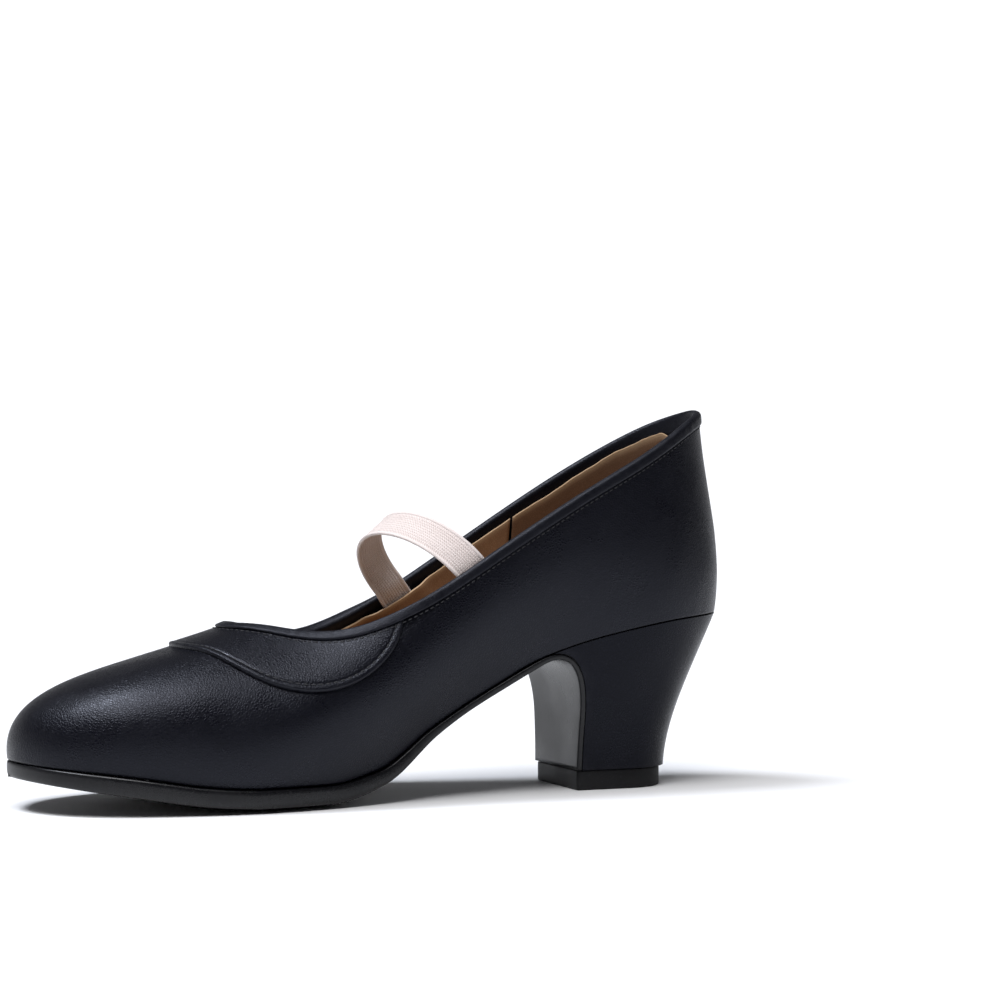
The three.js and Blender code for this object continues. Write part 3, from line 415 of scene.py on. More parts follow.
# Pebbled leather grain: cells of a given size, broken up, with fine pores.
def makeGrain():
    group, given, made = newGroup(
        "leatherGrain",
        [("Vector", "Vector", None), ("Cell Size", "Float", 0.0009), ("Break Up", "Float", 0.35)],
        ["Height", "Crease", "Cloud"],
    )
    scale = doMath(group, "DIVIDE", 1.0, given["Cell Size"])
    bend = addNode(group, "ShaderNodeTexNoise", {"Vector": given["Vector"], "Scale": scale, "Detail": 1.0})
    wires = {0: bend.outputs["Color"], 1: (0.5, 0.5, 0.5)}
    shift = addNode(group, "ShaderNodeVectorMath", wires, operation="SUBTRACT")
    amount = doMath(group, "MULTIPLY", given["Cell Size"], given["Break Up"])
    bent = addNode(group, "ShaderNodeVectorMath", {0: shift.outputs[0], "Scale": amount}, operation="SCALE")
    vector = addNode(group, "ShaderNodeVectorMath", {0: given["Vector"], 1: bent.outputs[0]}, operation="ADD")
    wires = {"Vector": vector.outputs[0], "Scale": scale}
    cells = addNode(group, "ShaderNodeTexVoronoi", wires, feature="DISTANCE_TO_EDGE")
    pebble = remap(group, cells.outputs["Distance"], 0.0, 0.28)
    fineScale = doMath(group, "MULTIPLY", scale, 3.1)
    cloudScale = doMath(group, "DIVIDE", scale, 22.0)
    fine = addNode(group, "ShaderNodeTexNoise", {"Vector": given["Vector"], "Scale": fineScale, "Detail": 3.0})
    wires = {"Vector": given["Vector"], "Scale": cloudScale, "Detail": 4.0, "Roughness": 0.6}
    cloud = addNode(group, "ShaderNodeTexNoise", wires)
    soft = doMath(group, "MULTIPLY", pebble, 0.7)
    height = doMath(group, "MULTIPLY_ADD", fine.outputs["Fac"], 0.3, soft)
    group.links.new(height, made["Height"])
    group.links.new(doMath(group, "SUBTRACT", 1.0, pebble), made["Crease"])
    group.links.new(cloud.outputs["Fac"], made["Cloud"])
    return group


# Rubbing: a mask that is stronger where the mesh marks its edges, broken up by noise.
def makeWear():
    group, given, made = newGroup(
        "edgeWear",
        [
            ("Vector", "Vector", None), ("Edge", "Float", 0.0),
            ("Grit Size", "Float", 0.003), ("Amount", "Float", 0.5),
        ],
        ["Mask"],
    )
    scale = doMath(group, "DIVIDE", 1.0, given["Grit Size"])
    grit = addNode(
        group, "ShaderNodeTexNoise",
        {"Vector": given["Vector"], "Scale": scale, "Detail": 5.0, "Roughness": 0.7},
    )
    broken = remap(group, grit.outputs["Fac"], 0.38, 0.68)
    worn = doMath(group, "MULTIPLY", doMath(group, "MULTIPLY", broken, given["Edge"]), given["Amount"])
    group.links.new(worn, made["Mask"])
    return group


# Dust: sparse specks and soft patches.
def makeDust():
    group, given, made = newGroup(
        "fineDust", [("Vector", "Vector", None), ("Speck Size", "Float", 0.0012)], ["Mask", "Patch"]
    )
    scale = doMath(group, "DIVIDE", 1.0, given["Speck Size"])
    specks = addNode(group, "ShaderNodeTexNoise", {"Vector": given["Vector"], "Scale": scale, "Detail": 2.0})
    patch = addNode(
        group, "ShaderNodeTexNoise",
        {"Vector": given["Vector"], "Scale": doMath(group, "DIVIDE", scale, 30.0), "Detail": 3.0},
    )
    group.links.new(remap(group, specks.outputs["Fac"], 0.66, 0.74), made["Mask"])
    group.links.new(remap(group, patch.outputs["Fac"], 0.4, 0.65), made["Patch"])
    return group


# Knitted ladder of the elastic, from the piece's own UV map in metres.
def makeWeave():
    group, given, made = newGroup(
        "elasticWeave",
        [("Vector", "Vector", None), ("Along", "Float", 0.0008), ("Across", "Float", 0.0009)],
        ["Height", "Gap"],
    )
    parts = addNode(group, "ShaderNodeSeparateXYZ", {0: given["Vector"]}).outputs
    fullTurn = 6.2832
    along = doMath(group, "DIVIDE", doMath(group, "MULTIPLY", parts[0], fullTurn), given["Along"])
    across = doMath(group, "DIVIDE", doMath(group, "MULTIPLY", parts[1], fullTurn), given["Across"])
    lean = doMath(group, "ADD", along, doMath(group, "SINE", across))
    threads = doMath(group, "MULTIPLY_ADD", doMath(group, "SINE", lean), 0.5, 0.5)
    strands = doMath(group, "MULTIPLY_ADD", doMath(group, "COSINE", across), 0.5, 0.5)
    height = doMath(group, "MULTIPLY_ADD", threads, 0.65, doMath(group, "MULTIPLY", strands, 0.35))
    group.links.new(height, made["Height"])
    group.links.new(remap(group, height, 0.45, 0.1), made["Gap"])
    return group


grain, wear, dust, weave = makeGrain(), makeWear(), makeDust(), makeWeave()


def newMaterial(name):
    made = bpy.data.materials.new(name)
    made.use_nodes = True
    tree = made.node_tree
    shader = tree.nodes["Principled BSDF"]
    return made, tree, shader


def useGroup(tree, group, wires):
    return addNode(tree, "ShaderNodeGroup", wires, node_tree=group).outputs


def addBump(tree, shader, height, depth, strength=1.0):
    bump = addNode(tree, "ShaderNodeBump", {"Height": height, "Distance": depth, "Strength": strength})
    tree.links.new(bump.outputs[0], shader.inputs["Normal"])


def markOf(tree, name):
    return addNode(tree, "ShaderNodeAttribute", attribute_name=name).outputs["Fac"]


# Finished leather, dyed or tan.
def leatherMaterial(name, look):
    made, tree, shader = newMaterial(name)
    place = addNode(tree, "ShaderNodeTexCoord").outputs["Object"]
    cells = useGroup(tree, grain, {"Vector": place, "Cell Size": look["cell"], "Break Up": 0.5})
    edge = markOf(tree, "edge")
    wires = {"Vector": place, "Edge": edge, "Grit Size": 0.0035, "Amount": look["wear"]}
    rubbed = useGroup(tree, wear, wires)["Mask"]
    dusty = useGroup(tree, dust, {"Vector": place, "Speck Size": 0.0009})
    colour = mixColour(tree, cells["Cloud"], look["dark"], look["light"])
    colour = mixColour(tree, doMath(tree, "MULTIPLY", cells["Crease"], look["crease"]), colour, look["pore"])
    # Marked edges of tan looks turn paler: the cut edge's own colour and a painted highlight along a lining's
    # top.
    cutEdgeAndHighlight = doMath(tree, "MULTIPLY", edge, look["rawEdgeAndHighlight"])
    colour = mixColour(tree, doMath(tree, "MAXIMUM", rubbed, cutEdgeAndHighlight), colour, look["worn"])
    specks = doMath(tree, "MULTIPLY", dusty["Mask"], look["dust"])
    colour = mixColour(tree, specks, colour, (0.25, 0.25, 0.26, 1))
    tree.links.new(colour, shader.inputs["Base Color"])
    rough = remap(tree, cells["Cloud"], 0.3, 0.7, look["rough"] - 0.05, look["rough"] + 0.06, "LINEAR")
    rough = doMath(tree, "MULTIPLY_ADD", cells["Crease"], 0.12, rough)
    rough = doMath(tree, "MULTIPLY_ADD", rubbed, 0.2, rough)
    tree.links.new(rough, shader.inputs["Roughness"])
    shader.inputs["Specular IOR Level"].default_value = look["specular"]
    shader.inputs["Specular Tint"].default_value = look["sheen"]
    addBump(tree, shader, cells["Height"], look["depth"])
    return made


blackLook = {
    "dark": (0.0016, 0.0016, 0.0036, 1), "light": (0.0034, 0.0034, 0.0066, 1),
    "pore": (0.001, 0.001, 0.0016, 1), "worn": (0.02, 0.02, 0.024, 1), "sheen": (0.82, 0.86, 1.0, 1),
    "cell": 0.0008, "depth": 0.00006, "crease": 0.5, "wear": 0.3, "dust": 0.02,
    "rough": 0.28, "specular": 0.24, "rawEdgeAndHighlight": 0.0,
}
bindingLook = dict(blackLook, cell=0.0006, depth=0.00005, rough=0.34, wear=0.4)
heelLook = dict(blackLook, cell=0.0009, depth=0.00004, rough=0.27, wear=0.3, specular=0.14)
# In tan looks a lining's marked top strip is painted paler: the cut edge's colour and a painted highlight.
tanLook = {
    "cell": 0.0007, "depth": 0.00003, "dark": (0.19, 0.095, 0.045, 1), "light": (0.33, 0.185, 0.095, 1),
    "pore": (0.14, 0.07, 0.035, 1), "crease": 0.35, "worn": (0.5, 0.34, 0.2, 1), "wear": 1.0, "dust": 0.05,
    "rough": 0.62, "specular": 0.35, "rawEdgeAndHighlight": 0.8, "sheen": (1, 1, 1, 1),
}
brownLook = dict(
    tanLook, dark=(0.115, 0.055, 0.028, 1), light=(0.2, 0.105, 0.052, 1), pore=(0.08, 0.04, 0.02, 1)
)
sockLook = dict(
    tanLook, dark=(0.26, 0.145, 0.07, 1), light=(0.42, 0.26, 0.14, 1), cell=0.0011, wear=0.3, rough=0.55
)

blackLeather = leatherMaterial("blackLeather", blackLook)
bindingLeather = leatherMaterial("bindingLeather", bindingLook)
heelLeather = leatherMaterial("heelLeather", heelLook)
tanLining = leatherMaterial("tanLining", tanLook)
brownLining = leatherMaterial("brownLining", brownLook)
sockLeather = leatherMaterial("sockLeather", sockLook)


# Moulded or cut stuff with a speckle: resin, rubber, board, foam, cork, plastic, steel.
def stuffMaterial(name, look):
    made, tree, shader = newMaterial(name)
    place = addNode(tree, "ShaderNodeTexCoord").outputs["Object"]
    cells = useGroup(tree, grain, {"Vector": place, "Cell Size": look["cell"], "Break Up": 1.2})
    dusty = useGroup(tree, dust, {"Vector": place, "Speck Size": 0.001})
    edge = markOf(tree, "edge")
    wires = {"Vector": place, "Edge": edge, "Grit Size": 0.002, "Amount": look["wear"]}
    rubbed = useGroup(tree, wear, wires)["Mask"]
    colour = mixColour(tree, cells["Cloud"], look["dark"], look["light"])
    colour = mixColour(tree, doMath(tree, "MULTIPLY", cells["Crease"], look["crease"]), colour, look["pore"])
    colour = mixColour(tree, rubbed, colour, look["worn"])
    specks = doMath(tree, "MULTIPLY", dusty["Mask"], look["dust"])
    colour = mixColour(tree, specks, colour, (0.3, 0.3, 0.3, 1))
    tree.links.new(colour, shader.inputs["Base Color"])
    rough = remap(tree, dusty["Patch"], 0.0, 1.0, look["rough"] - 0.06, look["rough"] + 0.08, "LINEAR")
    tree.links.new(doMath(tree, "MULTIPLY_ADD", rubbed, 0.25, rough), shader.inputs["Roughness"])
    shader.inputs["Metallic"].default_value = look["metal"]
    shader.inputs["Specular IOR Level"].default_value = look["specular"]
    addBump(tree, shader, cells["Height"], look["depth"])
    return made


resinLook = {
    "dark": (0.0025, 0.0025, 0.0034, 1), "light": (0.005, 0.005, 0.0062, 1),
    "pore": (0.002, 0.002, 0.003, 1), "worn": (0.018, 0.018, 0.021, 1),
    "cell": 0.0006, "depth": 0.000015, "crease": 0.3, "wear": 0.3, "dust": 0.03,
    "rough": 0.3, "metal": 0.0, "specular": 0.3,
}
stuffs = {
    "soleResin": resinLook,
    "liftRubber": dict(resinLook, rough=0.55, depth=0.00004, dark=(0.004, 0.004, 0.005, 1), wear=0.6),
    "fibreBoard": dict(
        resinLook, cell=0.0008, dark=(0.22, 0.17, 0.11, 1), light=(0.34, 0.27, 0.18, 1),
        pore=(0.15, 0.11, 0.07, 1), worn=(0.4, 0.34, 0.25, 1), rough=0.85,
    ),
    "foamPad": dict(
        resinLook, cell=0.0007, depth=0.0001, dark=(0.6, 0.57, 0.48, 1), light=(0.74, 0.7, 0.6, 1),
        pore=(0.4, 0.37, 0.3, 1), worn=(0.6, 0.55, 0.45, 1), rough=0.9,
    ),
    "corkFiller": dict(
        resinLook, cell=0.0016, depth=0.0001, dark=(0.2, 0.115, 0.055, 1), light=(0.38, 0.24, 0.13, 1),
        pore=(0.08, 0.045, 0.02, 1), worn=(0.4, 0.3, 0.2, 1), rough=0.9, crease=0.8,
    ),
    "stiffenerSheet": dict(
        resinLook, cell=0.001, dark=(0.5, 0.47, 0.4, 1), light=(0.62, 0.59, 0.51, 1),
        pore=(0.42, 0.4, 0.34, 1), worn=(0.6, 0.58, 0.5, 1), rough=0.6,
    ),
    "heelPlastic": dict(resinLook, dark=(0.02, 0.02, 0.022, 1), light=(0.03, 0.03, 0.033, 1), rough=0.5),
    "plainSteel": dict(
        resinLook, cell=0.0005, depth=0.00001, dark=(0.3, 0.3, 0.31, 1), light=(0.42, 0.42, 0.43, 1),
        pore=(0.2, 0.2, 0.2, 1), worn=(0.5, 0.5, 0.5, 1), rough=0.38, metal=1.0,
    ),
}
stuffMade = {name: stuffMaterial(name, look) for name, look in stuffs.items()}

elasticLook = {
    "thread": (0.72, 0.63, 0.595, 1), "gap": (0.42, 0.31, 0.27, 1), "cloud": (0.78, 0.7, 0.665, 1),
    "open": 0.6, "depth": 0.00012,
}


def elasticMaterial(name, look):
    made, tree, shader = newMaterial(name)
    coords = addNode(tree, "ShaderNodeTexCoord").outputs
    ladder = useGroup(tree, weave, {"Vector": coords["UV"], "Along": 0.00075, "Across": 0.00078})
    cells = useGroup(tree, grain, {"Vector": coords["Object"], "Cell Size": 0.0004, "Break Up": 1.5})
    colour = mixColour(tree, cells["Cloud"], look["thread"], look["cloud"])
    colour = mixColour(tree, doMath(tree, "MULTIPLY", ladder["Gap"], look["open"]), colour, look["gap"])
    tree.links.new(colour, shader.inputs["Base Color"])
    tree.links.new(remap(tree, cells["Cloud"], 0.3, 0.7, 0.78, 0.9, "LINEAR"), shader.inputs["Roughness"])
    height = doMath(tree, "MULTIPLY_ADD", cells["Height"], 0.25, ladder["Height"])
    shader.inputs["Sheen Weight"].default_value = 0.3
    addBump(tree, shader, height, look["depth"])
    return made


def threadMaterial(name, dark, light):
    made, tree, shader = newMaterial(name)
    place = addNode(tree, "ShaderNodeTexCoord").outputs["Object"]
    cells = useGroup(tree, grain, {"Vector": place, "Cell Size": 0.0003, "Break Up": 1.0})
    tree.links.new(mixColour(tree, cells["Cloud"], dark, light), shader.inputs["Base Color"])
    tree.links.new(remap(tree, cells["Cloud"], 0.3, 0.7, 0.45, 0.6, "LINEAR"), shader.inputs["Roughness"])
    addBump(tree, shader, cells["Height"], 0.00006)
    return made


elastic = elasticMaterial("elasticKnit", elasticLook)
elasticRim = elasticMaterial("elasticRim", dict(elasticLook, open=0.12, depth=0.00003))
blackThread = threadMaterial("blackThread", (0.01, 0.01, 0.012, 1), (0.028, 0.028, 0.032, 1))
print("materials made:", len(bpy.data.materials))


def addPiece(name, mesh, material, body, nodes):
    made = newObject(name, mesh, material)
    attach(made, body)
    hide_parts(*nodes)


# Depths of a leather strip's outer surface over its base, by distance from the strip's edge.
def foldedEdge(distance, thick, radius=0.6, stitchAt=2.1, dip=0.22, bulge=0.12):
    share = np.clip(distance / radius, 0, 1)
    edgeRound = np.sqrt(np.maximum(0, 1 - (1 - share) ** 2))
    puff = bulge * np.exp(-(((distance - 0.5 * stitchAt) / (0.35 * stitchAt)) ** 2))
    sink = dip * np.exp(-(((distance - stitchAt) / 0.32) ** 2))
    return thick * edgeRound + puff - sink


# ---- upper
upperSize = {"around": 300, "up": 54, "ripple": 0.1, "wave": 26.0, "pleat": 0.07}


def makeUpper(size):
    ribs = evenRibs(0, ribCount, size["around"], loop=True)[:, None]
    thick = layers["upper"]
    insets = np.array([12.0, 9.0, 6.0, 3.0, 1.2, 0.5])
    heights = np.concatenate([[0.004, 0.012, 0.025], np.linspace(0.04, 1, size["up"])])
    wall = wallPoint(ribs, heights[None, :], 0.0)
    outer = np.concatenate([bottomPoint(ribs, insets[None, :], 0.0), wall], 1)
    innerHeights = np.linspace(1, 0.06, 16)
    innerWall = wallPoint(ribs, innerHeights[None, :], np.full((1, len(innerHeights)), thick))
    inner = np.concatenate([innerWall, bottomPoint(ribs, np.array([[1.4, 6.0, 12.0]]), thick)], 1)
    # the outer face moves in and out a little, less at the topline and at the feather line
    _, out = wallFrame(ribs, heights[None, :])
    calm = smooth(0, 0.25, heights) * (1 - smooth(0.75, 0.95, heights))
    move = -np.abs(ripple(wall, size["ripple"], size["wave"], 3)) * calm
    pleats = np.sin(ribs * 47.0 + 2 * np.sin(ribs * 5.3)) * np.exp(-((heights - 0.03) / 0.045) ** 2)
    move = move - size["pleat"] * np.maximum(pleats, 0) * (heights > 0.01)
    outer[:, len(insets):] += out * move[..., None]
    edge = np.zeros(outer.shape[1] + inner.shape[1])
    return sweptMesh("upperLeather", np.concatenate([outer, inner], 1), True, {"edge": edge[None, :]})


addPiece("upperLeather", makeUpper(upperSize), blackLeather, "shoe", ["upper"])
print("upper made")

# ---- throat overlay
overlaySize = {
    "front": 18.5, "side": 23.5, "endRib": 6.3, "deepRib": 4.4, "thick": 1.15, "rows": 300, "columns": 60,
    "stitchAt": 2.2, "stitchSink": 0.12, "stitchFrom": 5.2, "top": 0.3,
}


def overlayReach(rib, size):
    away = np.abs(rib)
    depth = size["front"] + (size["side"] - size["front"]) * smooth(1, size["deepRib"], away)
    run = np.clip((away - size["deepRib"]) / (size["endRib"] - size["deepRib"]), 0, 1)
    return depth * (1 - run**2.5) ** 0.4


def overlayRibs(size):
    turn = np.radians(np.linspace(0, 88.5, 46))[1:]
    tail = size["deepRib"] + (size["endRib"] - size["deepRib"]) * np.sin(turn) ** 0.8
    middle = evenRibs(-size["deepRib"], size["deepRib"], size["rows"] - 92)
    return np.concatenate([-tail[::-1], middle, tail])


overlayLine = overlayRibs(overlaySize)
overlayEdge = edgePoint(overlayLine, overlayReach(overlayLine, overlaySize)[:, None], 0.0)[:, 0]


def edgeDistance(points, line):
    flat = points.reshape(-1, 3)
    best = np.full(len(flat), 1e9)
    for a, b in zip(line[:-1], line[1:]):
        run = b - a
        t = np.clip((flat - a) @ run / max(float(run @ run), 1e-12), 0, 1)
        best = np.minimum(best, np.linalg.norm(flat - a - t[:, None] * run, axis=1))
    return best.reshape(points.shape[:-1])


def makeOverlay(size):
    reach = overlayReach(overlayLine, size)
    near = np.array([
        0, 0.05, 0.14, 0.28, 0.45, 0.65, 0.95, 1.3, 1.6, 1.85, 2.05, 2.2, 2.35, 2.55, 2.85, 3.3, 3.9,
    ])
    share = np.linspace(0, 1, size["columns"] - len(near) + 1)[1:]
    depths = []
    for r in reach:
        close = near * min(1.0, 0.5 * (r - size["top"]) / near[-1])
        rest = close[-1] + (r - size["top"] - close[-1]) * share
        depths.append(r - np.concatenate([close, rest]))
    depths = np.array(depths)  # from the edge up to the topline
    face = edgePoint(overlayLine, depths, 0.0)
    distance = edgeDistance(face, overlayEdge)
    thick = foldedEdge(distance, size["thick"], stitchAt=size["stitchAt"])
    low = 0.04
    outer = edgePoint(overlayLine, depths, -(low + thick))
    under = edgePoint(overlayLine, depths[:, ::-1], np.full(depths.shape, -low))
    mark = np.exp(-((distance - 0.5) / 0.5) ** 2)
    marks = np.concatenate([mark, np.zeros(mark.shape)], 1)
    return sweptMesh("throatOverlay", np.concatenate([outer, under], 1), False, {"edge": marks})


overlay = mergeDoubles(makeOverlay(overlaySize))
addPiece("throatOverlay", overlay, blackLeather, "shoe", ["throat_overlay"])
print("overlay made")

# ---- topline binding
bindingSize = {"outside": 3.0, "inside": 6.0, "tab": 14.0, "thick": 0.7, "around": 420, "pucker": 0.05}


def overlayCover(rib):
    fromThroat = np.minimum(rib, ribCount - rib)
    return 1 - smooth(overlaySize["endRib"], overlaySize["endRib"] + 0.9, fromThroat)


# The inner leg is cut deeper at the back, as a tab.
def bindingDepth(rib, size):
    away = np.abs(rib - heelRib)
    return size["inside"] + (size["tab"] - size["inside"]) * (1 - smooth(0.75, 1.35, away))


def makeBinding(size):
    ribs = evenRibs(0, ribCount, size["around"], loop=True)
    even = np.ones(ribs.shape)
    stand = 0.1 + 1.25 * overlayCover(ribs)
    inner = bindingDepth(ribs, size)
    wave = size["pucker"] * (np.sin(ribs * 60) + 0.6 * np.sin(ribs * 23 + 1))
    # each profile point: depth below the topline, distance outside the face, rubbing mark
    start = size["outside"]
    outer = [
        (start, -0.02, 0), (start + 0.1, 0.22, 0), (start - 0.02, 0.5, 1), (start - 0.3, 0.68, 1),
        (start - 0.8, 0.72, 0.6), (1.7, 0.74, 0.2), (1.1, 0.76, 0.1), (0.5, 0.74, 0.3), (0.05, 0.66, 0.7),
    ]
    profile = [(even * d, stand + o + wave * (o > 0.3), m) for d, o, m in outer]
    over = [
        (-0.35, 0.46, 1), (-0.7, 0.12, 1), (-0.92, -0.3, 1), (-0.98, -0.8, 1), (-0.9, -1.3, 1), (-0.6, -1.8, 0.8),
    ]
    for d, o, m in over:
        lift = stand * (1 if o > 0.3 else 0.55 if o > 0 else 0.1)
        profile.append((even * d, o + lift, m))
    legs = [(-0.1, -2.1, 0.4), (0.8, -2.2, 0.1), (2.5, -2.2, 0), (4.2, -2.2, 0)]
    profile += [(even * d, even * o, m) for d, o, m in legs]
    tail = [
        (0.5, -2.2, 0), (0.25, -2.2, 0.3), (0.05, -2.12, 1), (0.0, -1.95, 1), (0.0, -1.65, 1), (0.15, -1.52, 0),
    ]
    profile += [(inner - d, even * o, m) for d, o, m in tail]
    back = [
        (4.2, -1.52, 0), (2.5, -1.52, 0), (0.8, -1.5, 0), (0.1, -1.42, 0), (-0.2, -1.1, 0), (-0.25, -0.6, 0),
    ]
    profile += [(even * d, even * o, m) for d, o, m in back]
    profile.append((even * -0.2, stand * 0.3, 0))
    profile += [(even * d, stand, 0) for d in (0.4, 1.6, 2.6)]
    depths, outside = (np.stack([point[k] for point in profile], 1) for k in (0, 1))
    marks = np.array([point[2] for point in profile], float)
    rings = edgePoint(ribs, depths, -outside)
    return sweptMesh("toplineBinding", rings, True, {"edge": marks[None, :]})


binding = makeBinding(bindingSize)
addPiece("toplineBinding", binding, bindingLeather, "shoe", ["topline_binding"])
print("binding made")

# ---- elastic strap
strapSize = {
    "at": 139.0, "lead": 9.5, "width": 10.4, "thick": 0.44, "top": 22.5, "tail": 16.0, "ribs": 9,
    "ribRadius": 0.4, "ribInset": 1.75, "edgeRadius": 0.62, "edgeInset": 0.4, "bendLength": 15.0,
    "ribBefore": 7,  # rib of the upper in front of the strap
}
strapUp = unit(np.array([-0.65, 0.0, 0.76]))
strapAcross = np.array([strapUp[2], 0.0, -strapUp[0]])
topXs = [high[0] for low, high, bulge in ends]
before = strapSize["ribBefore"]
strapRib = before + (strapSize["at"] - topXs[before]) / (topXs[before + 1] - topXs[before])
strapLayer = layers["strap"] + 0.45
strapRoot = edgePoint(np.array([strapRib]), np.zeros((1, 1)), strapLayer)[0, 0]
toplineStep = np.subtract(ends[before + 1][1], ends[before][1])
strapShift = np.array([-1.0, 0.0, -toplineStep[2] / toplineStep[0]]) * strapSize["lead"]


# Rib and height of the wall at places seen from the side.
def onWall(x, z, side, ribStep=0.01, heightStep=0.001):
    rib = np.full(np.shape(x), strapRib if side < 0 else ribCount - strapRib)
    height = np.full(np.shape(x), 0.9)
    for turn in range(20):
        here = upperFace(rib, height)
        byRib = (upperFace(rib + ribStep, height) - here) / ribStep
        byHeight = (upperFace(rib, height + heightStep) - here) / heightStep
        det = byRib[..., 0] * byHeight[..., 2] - byHeight[..., 0] * byRib[..., 2]
        dx, dz = x - here[..., 0], z - here[..., 2]
        rib = rib + (dx * byHeight[..., 2] - byHeight[..., 0] * dz) / det
        height = height + (byRib[..., 0] * dz - dx * byRib[..., 2]) / det
    return rib, height


# Grid over the strap's middle surface: across its width, along it from the medial tail.
def strapSurface(across, size, tailSteps=18, archSteps=110):
    tail = np.linspace(-size["tail"], 0, tailSteps + 1)[:-1]
    flat = strapRoot * np.array([1, 0, 1]) + strapAcross * across[:, None, None]
    tails = flat + strapUp * tail[None, :, None]
    rows, normals = [], []
    for side in (-1, 1):
        shift = strapShift * (1 + side) / 2
        foot, low = strapRoot + shift, tails + shift
        rib, height = onWall(low[..., 0], low[..., 2], side)
        held = wallPoint(rib, height, np.full(rib.shape, strapLayer))
        _, out = wallFrame(rib, height)
        root = onWall(np.array(foot[0]), np.array(foot[2]), side)
        half = abs(float(wallPoint(root[0], root[1], np.array(strapLayer))[1]))
        angle = np.linspace(0, math.pi / 2, archSteps // 2 + 1)
        arch = flat + strapUp * (np.sin(angle) * size["top"])[None, :, None]
        arch = arch + strapShift * ((1 + side * np.cos(angle)) / 2)[None, :, None]
        arch[..., 1] = side * half * np.cos(angle)
        lean = unit(
            np.array([0, side * 1.0, 0]) * (np.cos(angle) * size["top"])[:, None]
            + strapUp * (np.sin(angle) * half)[:, None]
        )
        lean = np.broadcast_to(lean[None], arch.shape)
        piece = np.concatenate([held, arch], 1)
        face = np.concatenate([out, lean], 1)
        rows.append(piece if side < 0 else piece[:, ::-1])
        normals.append(face if side < 0 else face[:, ::-1])
    surface = np.concatenate([rows[0], rows[1][:, 1:]], 1)
    return surface, np.concatenate([normals[0], normals[1][:, 1:]], 1)


def strapSheet(size):
    half = size["width"] / 2
    across = np.linspace(-half, half, 15)
    surface, normal = strapSurface(across, size)
    thick = size["thick"] / 2
    top = (surface + normal * thick).transpose(1, 0, 2)
    low = (surface - normal * thick).transpose(1, 0, 2)[:, ::-1]
    return sweptMesh("elasticStrap", np.concatenate([top, low], 1), False)


tubeSides = 8


# Geometry tree that takes lines, sizes by name and a material.
def newGrower(name, sizes):
    tree = bpy.data.node_groups.new(name, "GeometryNodeTree")
    tree.interface.new_socket("Geometry", in_out="INPUT", socket_type="NodeSocketGeometry")
    sockets = {}
    for label, value in sizes.items():
        socket = tree.interface.new_socket(label, in_out="INPUT", socket_type="NodeSocketFloat")
        socket.default_value = value
        sockets[label] = socket.identifier
    paint = tree.interface.new_socket("Material", in_out="INPUT", socket_type="NodeSocketMaterial")
    sockets["Material"] = paint.identifier
    tree.interface.new_socket("Geometry", in_out="OUTPUT", socket_type="NodeSocketGeometry")
    given = tree.nodes.new("NodeGroupInput").outputs
    lines = addNode(tree, "GeometryNodeMeshToCurve", {"Mesh": given[0]})
    return tree, sockets, given, lines.outputs[0]


# Ends such a tree with one plain, painted, smooth mesh.
def endGrower(tree, grown, paint):
    whole = addNode(tree, "GeometryNodeRealizeInstances", {0: grown})
    painted = addNode(tree, "GeometryNodeSetMaterial", {"Geometry": whole.outputs[0], "Material": paint})
    soft = addNode(tree, "GeometryNodeSetShadeSmooth", {0: painted.outputs[0]})
    tree.links.new(soft.outputs[0], tree.nodes.new("NodeGroupOutput").inputs[0])


# Tube along each line, as round ribs on the strap.
def ribTree():
    tree, sockets, given, lines = newGrower("strapRibs", {"Rib Radius": 0.0005})
    wires = {"Resolution": tubeSides, "Radius": given["Rib Radius"]}
    circle = addNode(tree, "GeometryNodeCurvePrimitiveCircle", wires)
    wires = {"Curve": lines, "Profile Curve": circle.outputs[0], "Fill Caps": True}
    tube = addNode(tree, "GeometryNodeCurveToMesh", wires)
    endGrower(tree, tube.outputs[0], given["Material"])
    return tree, sockets


# Thread stitches along each line.
def stitchTree():
    sizes = {"Pitch": 0.0026, "Stitch Length": 0.0021, "Thread Radius": 0.0002}
    tree, sockets, given, lines = newGrower("stitchRow", sizes)
    wires = {"Curve": lines, "Length": given["Pitch"]}
    spaced = addNode(tree, "GeometryNodeResampleCurve", wires, mode="LENGTH")
    tangent = addNode(tree, "GeometryNodeInputTangent")
    turn = addNode(tree, "FunctionNodeAlignRotationToVector", {"Vector": tangent.outputs[0]}, axis="X")
    ball = addNode(tree, "GeometryNodeMeshUVSphere", {"Segments": 8, "Rings": 6, "Radius": 0.5})
    width = doMath(tree, "MULTIPLY", given["Thread Radius"], 2.0)
    size = addNode(tree, "ShaderNodeCombineXYZ", {0: given["Stitch Length"], 1: width, 2: width})
    stitch = addNode(tree, "GeometryNodeTransform", {"Geometry": ball.outputs[0], "Scale": size.outputs[0]})
    wires = {"Points": spaced.outputs[0], "Instance": stitch.outputs[0], "Rotation": turn.outputs[0]}
    row = addNode(tree, "GeometryNodeInstanceOnPoints", wires)
    endGrower(tree, row.outputs[0], given["Material"])
    return tree, sockets


